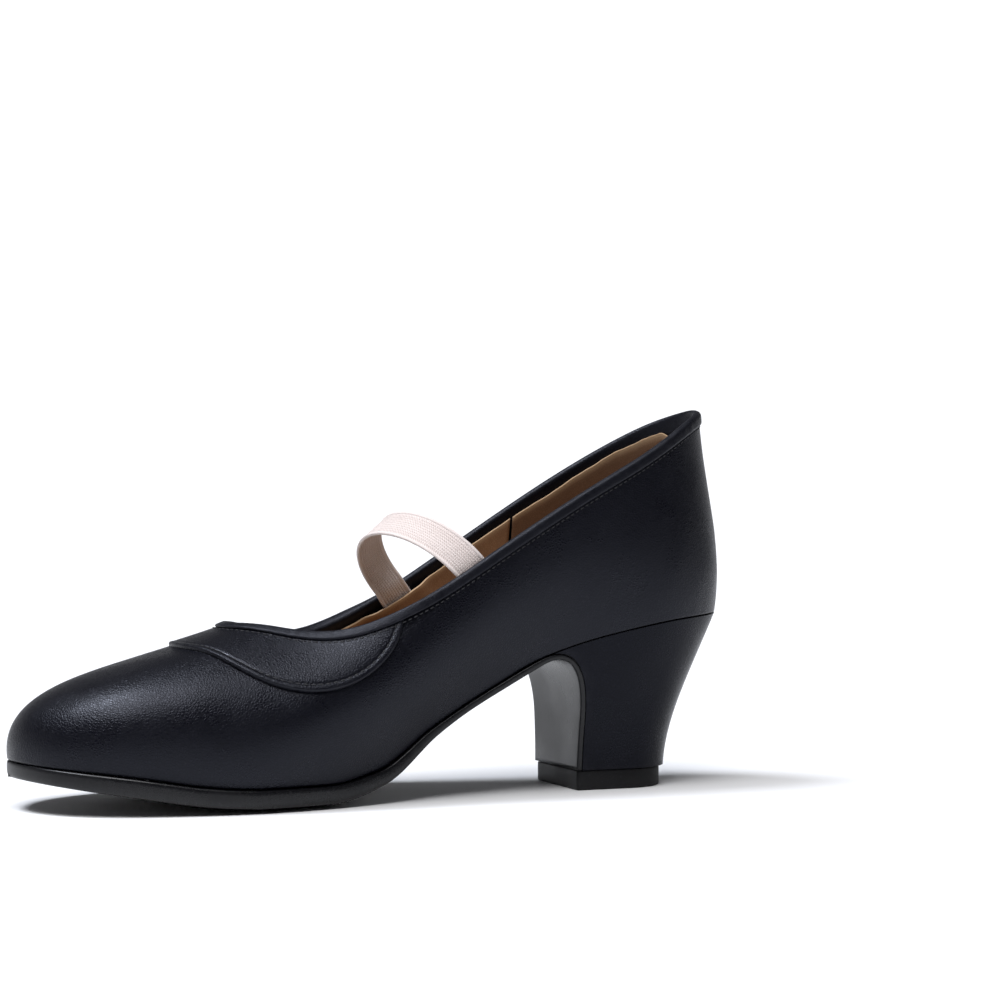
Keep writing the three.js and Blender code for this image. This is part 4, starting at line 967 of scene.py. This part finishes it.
# Runs a tree over lines of points and keeps its result as a plain mesh.
def growOnLines(name, lines, grower, values):
    tree, sockets = grower
    points, edges = [], []
    for line in lines:
        edges += [(len(points) + i, len(points) + i + 1) for i in range(len(line) - 1)]
        points += [tuple(p) for p in toFrame(line)]
    mesh = bpy.data.meshes.new(name + "Lines")
    mesh.from_pydata(points, edges, [])
    carrier = bpy.data.objects.new(name + "Lines", mesh)
    bpy.context.scene.collection.objects.link(carrier)
    modifier = carrier.modifiers.new("grow", "NODES")
    modifier.node_group = tree
    for label, value in values.items():
        modifier[sockets[label]] = value
    grown = carrier.evaluated_get(bpy.context.evaluated_depsgraph_get())
    result = bpy.data.meshes.new_from_object(grown)
    result.name = name
    carrier.modifiers.remove(modifier)
    bpy.data.objects.remove(carrier)
    if not result.materials:
        result.materials.append(values["Material"])
    return result


ribGrower, stitchGrower = ribTree(), stitchTree()


# UV map of tubes: metres along, metres around.
def mapTubes(mesh, lines, radius):
    steps = np.linalg.norm(np.diff(lines, axis=1), axis=2)
    runs = np.concatenate([np.zeros((len(lines), 1)), np.cumsum(steps, axis=1)], 1)
    along = np.repeat(runs.ravel(), tubeSides) / 1000
    around = np.tile(np.arange(tubeSides), runs.size) * 2 * math.pi * radius / (1000 * tubeSides)
    corners = np.empty(len(mesh.loops), int)
    mesh.loops.foreach_get("vertex_index", corners)
    layer = mesh.uv_layers.get("place") or mesh.uv_layers.new(name="place")
    layer.data.foreach_set("uv", np.stack([along[corners], around[corners]], 1).ravel())


def makeStrap(size):
    half = size["width"] / 2
    middle = strapRoot + strapShift / 2
    root, end = toFrame(middle), toFrame(middle + strapUp * size["bendLength"])
    root[1] = end[1] = 0
    sheet = newObject("elasticStrap", strapSheet(size), elastic)
    reach = half - size["ribInset"]
    spots = np.linspace(-reach, reach, size["ribs"])
    surface, _ = strapSurface(spots, size)
    ribs = growOnLines(
        "strapRibs", list(surface), ribGrower, {"Rib Radius": size["ribRadius"] / 1000, "Material": elastic}
    )
    mapTubes(ribs, surface, size["ribRadius"])
    rimAt = half - size["edgeInset"]
    rims, _ = strapSurface(np.array([-rimAt, rimAt]), size)
    edges = growOnLines(
        "strapEdges", list(rims), ribGrower, {"Rib Radius": size["edgeRadius"] / 1000, "Material": elasticRim}
    )
    mapTubes(edges, rims, size["edgeRadius"])
    pieces = [sheet, newObject("strapRibs", ribs), newObject("strapEdges", edges)]
    for piece in pieces:
        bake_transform(piece)
    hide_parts("strap_end_medial", "strap_end_lateral", "strap_band")
    return pieces


makeStrap(strapSize)
print("strap made")

# ---- linings
liningSize = {"seamRib": 8.8, "drop": 3.2, "backDrop": 11.5, "swell": 1.64, "rows": 260, "up": 34}


# The lining swells over the strap ends.
def liningInset(points):
    offset = points - strapRoot - strapShift * (points[..., 1:2] > 0)
    beside = np.abs(offset @ strapAcross) - strapSize["width"] / 2
    below = -strapSize["tail"] - offset @ strapUp
    near = (1 - smooth(2.5, 8, beside)) * (1 - smooth(2.5, 8, below))
    return layers["lining"] + near * liningSize["swell"]


def makeLining(name, start, end, size):
    ribs = evenRibs(start, end, size["rows"])
    away = np.abs(((ribs + heelRib) % ribCount) - heelRib)
    back = 1 - smooth(0.6, 1.5, np.abs(away - heelRib))
    rough = 0.3 * np.sin(ribs * 3.1) + 0.14 * np.sin(ribs * 8.7 + 1.3) + 0.05 * np.sin(ribs * 23 + 0.4)
    drop = size["drop"] + (size["backDrop"] - size["drop"]) * back + rough
    tops = heightsAtDepth(ribs, drop[:, None])
    share = np.concatenate([np.linspace(0, 0.9, size["up"]), [0.93, 0.955, 0.975, 0.988, 0.996, 1.0]])
    heights = 0.06 + (tops - 0.06) * share[None, :]
    bare = upperFace(ribs[:, None], heights)
    inset = liningInset(bare)
    thick = layers["liningThick"]
    outer = wallPoint(ribs[:, None], heights, inset)
    inner = wallPoint(ribs[:, None], heights, inset + thick)
    foot = bottomPoint(ribs[:, None], np.array([[13.0, 8.0, 3.2]]), 1.5)
    footTop = bottomPoint(ribs[:, None], np.array([[13.0, 8.0, 3.9]]), 2.3)
    rings = np.concatenate([foot, outer, inner[:, ::-1], footTop[:, ::-1]], 1)
    # The top strip is marked to be painted paler: the cut edge's own colour and a painted highlight where the
    # lining's top catches light.
    fromTop = (tops - heights) * 45
    rawEdgeAndHighlight = np.exp(-((fromTop / 1.1) ** 2))
    none = np.zeros((len(ribs), 3))
    marks = np.concatenate([none, rawEdgeAndHighlight, rawEdgeAndHighlight[:, ::-1], none], 1)
    return sweptMesh(name, rings, False, {"edge": marks})


seam = liningSize["seamRib"]
vamp = makeLining("vampLining", -seam + 0.02, seam - 0.02, liningSize)
addPiece("vampLining", vamp, tanLining, "shoe", ["vamp_lining"])
quarter = makeLining("heelLining", seam + 0.02, ribCount - seam - 0.02, liningSize)
addPiece("heelLining", quarter, brownLining, "shoe", ["heel_lining"])
print("linings made")

# ---- sock
sockSize = {"rows": 150, "across": 22}


def makeSock(size):
    ribs = evenRibs(0, heelRib, size["rows"])
    low, high, inset = layers["sockLow"], layers["sockTop"], layers["plateInset"]
    profile = [(0.25, high), (0.06, high - 0.1), (0.0, high - 0.3), (0.0, low + 0.1), (0.2, low)]
    shares = np.linspace(0, 1, size["across"])[:, None]
    rings = []
    for rib in ribs:
        sides = [[bottomPoint(r, inset + d, z) for d, z in profile] for r in (rib, ribCount - rib)]
        left, right = np.array(sides)
        top = left[0] + (right[0] - left[0]) * shares
        under = right[-1] + (left[-1] - right[-1]) * shares
        for sheet, level in ((top, high), (under, low)):
            sheet[:, 2] = seatHeight(sheet[:, 0]) + level
        rings.append(np.concatenate([top, right[1:-1], under, left[1:-1][::-1]]))
    edge = np.zeros(len(rings[0]))
    edge[[0, 1, size["across"] - 2, size["across"] - 1]] = 1
    return mergeDoubles(sweptMesh("sock", np.array(rings), False, {"edge": edge[None, :]}))


addPiece("sock", makeSock(sockSize), sockLeather, "shoe", ["sock_lining"])
print("sock made")

# ---- outsole: tread, waist, turn under the seat, and the flap down the heel breast
soleSize = {
    "edge": 1.8, "toeEdge": 0.1, "waist": 2.5, "flap": 1.6, "breastAt": 180.2, "gap": 0.3,
    "rows": 150, "columns": 34, "heelRib": 8.45, "bevel": 0.14,
}
liftSize = {"height": 6.3, "length": 35.0, "width": 33.0, "inset": 1.4, "back": 213.6, "corner": 0.95}
heelShape = {
    "round": 0.52,  # share of the outline that turns round the back
    "sideRun": 14.0,  # sides go on in front of the breast
    "lowFlare": 0.05, "lowRise": 0.32, "highFlare": 0.42, "highRise": 0.36,
}


def heelBase(share, inset):
    angle = (share - 0.5) * 2
    half = liftSize["width"] / 2 + liftSize["inset"] - inset
    back = liftSize["back"] + liftSize["inset"] - inset
    corner = back - half * liftSize["corner"]
    roundShare = heelShape["round"]
    run = (1 - np.abs(angle)) / (1 - roundShare)
    front = soleSize["breastAt"] - heelShape["sideRun"]
    turn = np.clip(angle / roundShare, -1, 1) * math.pi / 2
    onTurn = np.abs(angle) <= roundShare
    x = np.where(onTurn, corner + np.cos(turn) * (back - corner), front + (corner - front) * run)
    y = np.where(onTurn, np.sin(turn) * half, np.sign(angle) * half)
    return np.stack([x, y, np.full(x.shape, liftSize["height"] + soleSize["gap"])], -1)


# Side and back of the heel: share 0 at the medial breast, 1 at the lateral breast.
def heelSurface(share, level, inset):
    share, level = np.broadcast_arrays(np.asarray(share, float), np.asarray(level, float))
    rib = soleSize["heelRib"] + share * (ribCount - 2 * soleSize["heelRib"])
    base = heelBase(share, inset)
    seat = bottomPoint(rib, inset, -soleSize["gap"])
    rise = (seat[..., 2] - base[..., 2])[..., None]
    flare = (seat - base) * np.array([1, 1, 0])
    low = base + flare * heelShape["lowFlare"] + upward * heelShape["lowRise"] * rise
    high = seat - flare * heelShape["highFlare"] - upward * heelShape["highRise"] * rise
    return cubic(level[..., None], base, low, high, seat)


# Top of the outsole in side view, and its thickness there.
def soleProfile(size):
    leave = 0.7 * length
    x = np.linspace(0, leave, size["rows"])
    seatPart = np.stack([x, seatHeight(x) - size["gap"]], 1)
    rise = float(seatHeight(leave) - seatHeight(leave - 1))
    a = seatPart[-1]
    middle = 0.5 * (a[1] + liftSize["height"])
    corners = [a, a + [11, 11 * rise], np.array([size["breastAt"] + 0.6, a[1] - 3])]
    corners.append(np.array([size["breastAt"], middle - 3]))
    turn = cubic(np.linspace(0, 1, 44)[1:, None], *corners)
    end = np.array([size["breastAt"] - 0.3, liftSize["height"] + size["gap"]])
    fall = turn[-1] + (end - turn[-1]) * np.linspace(0, 1, 13)[1:, None]
    top = np.concatenate([seatPart, turn, fall])
    x = top[:, 0]
    front = last["toeSole"] + (sole - last["toeSole"]) * smooth(0, 0.14 * length, x)
    waist = front + (size["waist"] - front) * smooth(treadEnd, waistEnd, x)
    flap = smooth(0.66 * length, 0.75 * length, x)
    thick = waist + (size["flap"] - waist) * flap - size["gap"] * (1 - flap)
    along = unit(np.gradient(top, axis=0))
    down = np.stack([along[:, 1], -along[:, 0]], 1)
    return top, top + down * thick[:, None]


soleTop, soleBottom = soleProfile(soleSize)


def breastHalf(z):
    levels = np.linspace(0, 1, 200)
    column = heelSurface(np.full(levels.shape, 0.06), levels, 0.0)
    return np.interp(z, column[:, 2], np.abs(column[:, 1]))


def featherHalf(x, side):
    ribs = np.linspace(0, heelRib, 1500)
    plan = featherPlan(ribs if side < 0 else ribCount - ribs)
    return np.interp(x, plan[:, 0], np.abs(plan[:, 1]))


# How far the underside bows down between its edges.
def bowAt(x, shares):
    run = smooth(0, treadStart, x) * (1 - smooth(treadEnd, waistEnd, x))
    return last["bow"] * run * smooth(0, soleSize["bevel"], np.minimum(shares, 1 - shares))


def makeOutsole(size):
    ringSides = []  # plan point and outward direction of both sides, and the row in side view
    for rib in np.concatenate([[0.0], np.geomspace(0.02, 5, 60)]):
        edge = size["toeEdge"] + (size["edge"] - size["toeEdge"]) * float(smooth(0, 4, rib))
        sides = []
        for r in (rib, ribCount - rib):
            out = outward(featherPlan, r)
            sides.append((featherPlan(r) + out * edge, out))
        ringSides.append((sides, None))
    toeEnd = max(point[0] for point, out in sides)
    for i in np.nonzero(soleTop[:, 0] > toeEnd + 0.8)[0]:
        x, z = soleTop[i]
        onFlap = float(smooth(0.68 * length, seatStart + 5, x))
        sides = []
        for side in (-1, 1):
            edge = size["edge"] * (1 - 0.5 * float(smooth(treadEnd, waistEnd, x)))
            wide = float(featherHalf(x, side)) + edge
            wide += (float(breastHalf(z)) - wide) * onFlap
            sides.append((np.array([x, side * wide, 0.0]), np.array([0, side * 1.0, 0])))
        ringSides.append((sides, i))
    # edge profile: inward shift, share of the thickness down from the top
    profile = [(0.7, 0.0), (0.22, 0.03), (0.05, 0.12), (0.0, 0.28), (0.0, 0.55), (0.08, 0.75), (0.3, 0.9),
               (0.65, 0.985), (1.1, 1.0)]
    shares = np.linspace(0, 1, size["columns"])[:, None]
    rings = []
    for sides, row in ringSides:
        columns = []
        for point, out in sides:
            column = []
            for shift, down in profile:
                p = point - out * min(shift, 0.9 * abs(point[1]))
                if row is None:
                    tread = (line[:size["rows"]] for line in (soleTop, soleBottom))
                    top, low = ((p[0], np.interp(p[0], line[:, 0], line[:, 1])) for line in tread)
                else:
                    top, low = soleTop[row], soleBottom[row]
                    p[0] = top[0] + (low[0] - top[0]) * down
                p = np.array([p[0], p[1], top[1] + (low[1] - top[1]) * down])
                column.append(p)
            columns.append(np.array(column))
        left, right = columns
        topRow = left[0] + (right[0] - left[0]) * shares
        lowRow = right[-1] + (left[-1] - right[-1]) * shares
        lowRow[:, 2] -= bowAt(lowRow[:, 0], shares[:, 0])
        rings.append(np.concatenate([topRow, right[1:-1], lowRow, left[1:-1][::-1]]))
    count = size["columns"]
    edge = np.zeros(len(rings[0]))
    lower = count + len(profile) - 2
    edge[count:lower] = (0.2, 0.5, 0.7, 0.8, 1, 1, 0.8)
    edge[lower + count:] = edge[count:lower][::-1]
    edge[[lower, lower + count - 1]] = 0.6
    return mergeDoubles(sweptMesh("outsole", np.array(rings), False, {"edge": edge[None, :]}))


addPiece("outsole", makeOutsole(soleSize), stuffMade["soleResin"], "shoe", ["outsole"])
print("outsole made")

# ---- heel cover
coverSize = {"thick": 0.8, "levels": 60, "across": 150}


# Signed distance in side view behind the outsole's line.
def behindSole(x, z):
    line = soleTop[soleTop[:, 0] > 0.62 * length]
    best = np.full(np.shape(x), 1e9)
    sign = np.ones(np.shape(x))
    for a, b in zip(line[:-1], line[1:]):
        run = b - a
        t = np.clip(((x - a[0]) * run[0] + (z - a[1]) * run[1]) / (run @ run), 0, 1)
        dx, dz = x - a[0] - t * run[0], z - a[1] - t * run[1]
        gapTo = np.hypot(dx, dz)
        side = np.sign(run[0] * dz - run[1] * dx)
        sign = np.where(gapTo < best, side, sign)
        best = np.minimum(best, gapTo)
    return best * sign


def makeHeelCover(size):
    levels = np.concatenate([[0, 0.004, 0.012], np.linspace(0.025, 0.975, size["levels"]), [0.99, 0.997, 1.0]])
    trial = np.linspace(0, 0.5, 260)
    starts = []
    for lateral in (False, True):
        share = 1 - trial if lateral else trial
        p = heelSurface(share[None, :], levels[:, None], 0.0)
        away = behindSole(p[..., 0], p[..., 2])
        inside = away >= soleSize["gap"]
        first = np.argmax(inside, 1)
        found = []
        for row, k in enumerate(first):
            if k == 0:
                found.append(trial[0])
                continue
            low, high = away[row, k - 1], away[row, k]
            found.append(trial[k - 1] + (trial[k] - trial[k - 1]) * (soleSize["gap"] - low) / (high - low))
        starts.append(np.array(found))
    u = np.linspace(0, 1, size["across"])
    u = 0.5 - 0.5 * np.cos(math.pi * u) * (0.6 + 0.4 * np.abs(np.cos(math.pi * u)))
    shares = starts[0][:, None] + (1 - starts[1] - starts[0])[:, None] * u[None, :]
    face = heelSurface(shares, levels[:, None], 0.0)
    back = heelSurface(shares, levels[:, None], size["thick"])
    acrossEdge = np.minimum(u, 1 - u)
    roll = 0.3 * np.exp(-((acrossEdge / 0.006) ** 2))[None, :]
    face = face + (back - face) / size["thick"] * roll[..., None]
    wave = ripple(face, 0.06, 22.0, 11)
    face = face + unit(back - face) * np.abs(wave)[..., None]
    mark = np.exp(-((acrossEdge / 0.012) ** 2))[None, :] + np.exp(-((levels / 0.03) ** 2))[:, None]
    rings = np.concatenate([face, back[::-1]], 0).transpose(1, 0, 2)
    marks = np.concatenate([mark, mark[::-1]], 0).T
    return sweptMesh("heelCover", rings, False, {"edge": np.clip(marks, 0, 1)})


addPiece("heelCover", makeHeelCover(coverSize), heelLeather, "shoe", ["heel_cover"])
print("heel cover made")


# ---- top lift
def makeTopLift(size):
    half, back = size["width"] / 2, size["back"]
    corner = back - half * size["corner"]
    turn = np.linspace(-math.pi / 2, math.pi / 2, 61)
    front = last["liftFront"]
    curve = [(front, y) for y in np.linspace(half, -half, 25)[1:-1]]
    curve += [(x, -half) for x in np.linspace(front, corner, 18)]
    curve += [(corner + (back - corner) * math.cos(a), half * math.sin(a)) for a in turn[1:-1]]
    curve += [(x, half) for x in np.linspace(corner, front, 18)]
    curve = np.array(curve)
    middle = np.array([(front + back) / 2, 0.0])
    height = size["height"]
    levels = [(0, 0.9), (0.02, 0.35), (0.18, 0.1), (0.5, 0.0), (1.6, 0.0), (3.2, 0.0), (height - 0.5, 0.0),
              (height - 0.15, 0.08), (height, 0.3)]
    grow = unit(curve - middle)
    rings = [np.column_stack([curve - grow * inset, np.full(len(curve), z)]) for z, inset in levels]
    lowCurve = rings[0][:, :2]
    for share in (0.66, 0.33, 0.05):
        low = middle + (lowCurve - middle) * share
        rings.insert(0, np.column_stack([low, np.zeros(len(curve))]))
        high = middle + (curve - middle) * share
        rings.append(np.column_stack([high, np.full(len(curve), height)]))
        lowCurve = curve
    marks = np.array([0, 0, 0, 1, 1, 0.8, 0.5, 0.2, 0, 0.2, 0.6, 0.6, 0, 0, 0])
    return mergeDoubles(sweptMesh("topLift", np.array(rings), False, {"edge": marks[:, None]}))


addPiece("topLift", makeTopLift(liftSize), stuffMade["liftRubber"], "shoe", ["top_lift"])
print("top lift made")

# ---- stitches
stitchSize = {"pitch": 2.3, "long": 1.75, "radius": 0.19}


def stitchRow(name, lines, thread, pitch=stitchSize["pitch"], long=stitchSize["long"]):
    values = {
        "Pitch": pitch / 1000, "Stitch Length": long / 1000, "Thread Radius": stitchSize["radius"] / 1000,
        "Material": thread,
    }
    mesh = growOnLines(name, lines, stitchGrower, values)
    made = newObject(name, mesh)
    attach(made, "shoe")
    return made


# A line at a distance inside the overlay's edge, lifted onto its surface.
def overlayStitchLine(size):
    run = unit(np.gradient(overlayEdge, axis=0))
    depths = overlayReach(overlayLine, size)[:, None]
    heights = heightsAtDepth(overlayLine, depths)
    _, out = wallFrame(overlayLine[:, None], heights)
    inwards = unit(np.cross(out[:, 0], run))
    flip = np.sign(np.sum(inwards * (edgePoint(overlayLine, depths - 2, 0.0)[:, 0] - overlayEdge), 1))
    lifted = size["thick"] - size["stitchSink"]
    line = overlayEdge + inwards * flip[:, None] * size["stitchAt"] + out[:, 0] * lifted
    return line[depths[:, 0] > size["stitchFrom"]]


def toplineStitchLine(depth, start, end, lift, count=700):
    ribs = evenRibs(start, end, count)
    outside = lift + 1.2 * overlayCover(ribs % ribCount)
    return edgePoint(ribs, np.full((len(ribs), 1), depth), -outside[:, None])[:, 0]


stitchRow("overlayStitches", [overlayStitchLine(overlaySize)], blackThread)
around = toplineStitchLine(3.9, 0, ribCount, 0.05)
stitchRow("toplineStitches", [around], blackThread, pitch=2.0, long=1.5)
print("stitches made")

# ---- CAD pieces that stay as they are, with their own finishes
kept = {
    "fibreBoard": ["insole_board"],
    "foamPad": ["sock_foam"],
    "corkFiller": ["bottom_filler"],
    "stiffenerSheet": ["toe_puff", "heel_counter"],
    "heelPlastic": ["heel_block"],
    "plainSteel": ["shank", "heel_screw", "top_lift_pin_1", "top_lift_pin_2"]
    + [f"heel_nail_{i}" for i in range(1, 5)],
}
for finishName, nodes in kept.items():
    for node in nodes:
        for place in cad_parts[node].material_slots:
            place.material = stuffMade[finishName]

# ---- floor, light and camera
stageSize = {
    "cameraAt": (-147.7, -759.5, 93.0),  # millimetres from the toe
    "lookAt": (158.8, 0.0, 93.0),
    "lens": 91.3,
    "floor": 6.0,
    "room": 0.1,  # brightness of the room, and of the low band behind the shoe
    "backBand": 0.7,
}


def makeFloor(size):
    bpy.ops.mesh.primitive_grid_add(x_subdivisions=8, y_subdivisions=8, size=size["floor"], location=(0, 0, 0))
    floor = bpy.context.object
    floor.name = "floor"
    made, tree, shader = newMaterial("paleFloor")
    place = addNode(tree, "ShaderNodeTexCoord").outputs["Object"]
    dusty = useGroup(tree, dust, {"Vector": place, "Speck Size": 0.01})
    tree.links.new(
        mixColour(tree, dusty["Patch"], (0.9, 0.9, 0.9, 1), (0.92, 0.92, 0.92, 1)), shader.inputs["Base Color"]
    )
    shader.inputs["Roughness"].default_value = 0.6
    floor.data.materials.append(made)


makeFloor(stageSize)


def overheadLight(name, energy, spread, colour, travel):
    data = bpy.data.lights.new(name, "SUN")
    data.energy, data.angle, data.color = energy, math.radians(spread), colour
    light = bpy.data.objects.new(name, data)
    bpy.context.scene.collection.objects.link(light)
    light.rotation_euler = Vector(travel).to_track_quat("-Z", "Y").to_euler()


overheadLight("skyLight", 2.5, 36, (0.98, 0.98, 1.0), (0.24, 0.34, -1.0))
overheadLight("vampLight", 2.5, 18, (0.88, 0.92, 1.0), (0.42, -0.12, -1.0))

world = bpy.data.worlds.new("studio")
bpy.context.scene.world = world
world.use_nodes = True
sky = world.node_tree
background = sky.nodes["Background"]
background.inputs["Color"].default_value = (0.95, 0.96, 1.0, 1)
sightline = addNode(sky, "ShaderNodeLightPath").outputs["Is Camera Ray"]
facing = addNode(sky, "ShaderNodeTexCoord").outputs["Generated"]
facing = addNode(sky, "ShaderNodeSeparateXYZ", {0: facing}).outputs
behind = remap(sky, facing[1], 0.0, 0.6)
band = doMath(sky, "MULTIPLY", behind, remap(sky, facing[2], 0.36, 0.16))
room = remap(sky, band, 0.0, 1.0, stageSize["room"], stageSize["backBand"], "LINEAR")
seen = doMath(sky, "MAXIMUM", room, doMath(sky, "MULTIPLY", sightline, 1.2))
sky.links.new(seen, background.inputs["Strength"])
bpy.context.scene.view_settings.view_transform = "Standard"

cameraData = bpy.data.cameras.new("camera")
cameraData.lens = stageSize["lens"]
camera = bpy.data.objects.new("camera", cameraData)
bpy.context.scene.collection.objects.link(camera)
camera.location = toFrame(stageSize["cameraAt"])
aim = Vector(toFrame(stageSize["lookAt"])) - camera.location
camera.rotation_euler = aim.to_track_quat("-Z", "Y").to_euler()
bpy.context.scene.camera = camera
print("stage made")
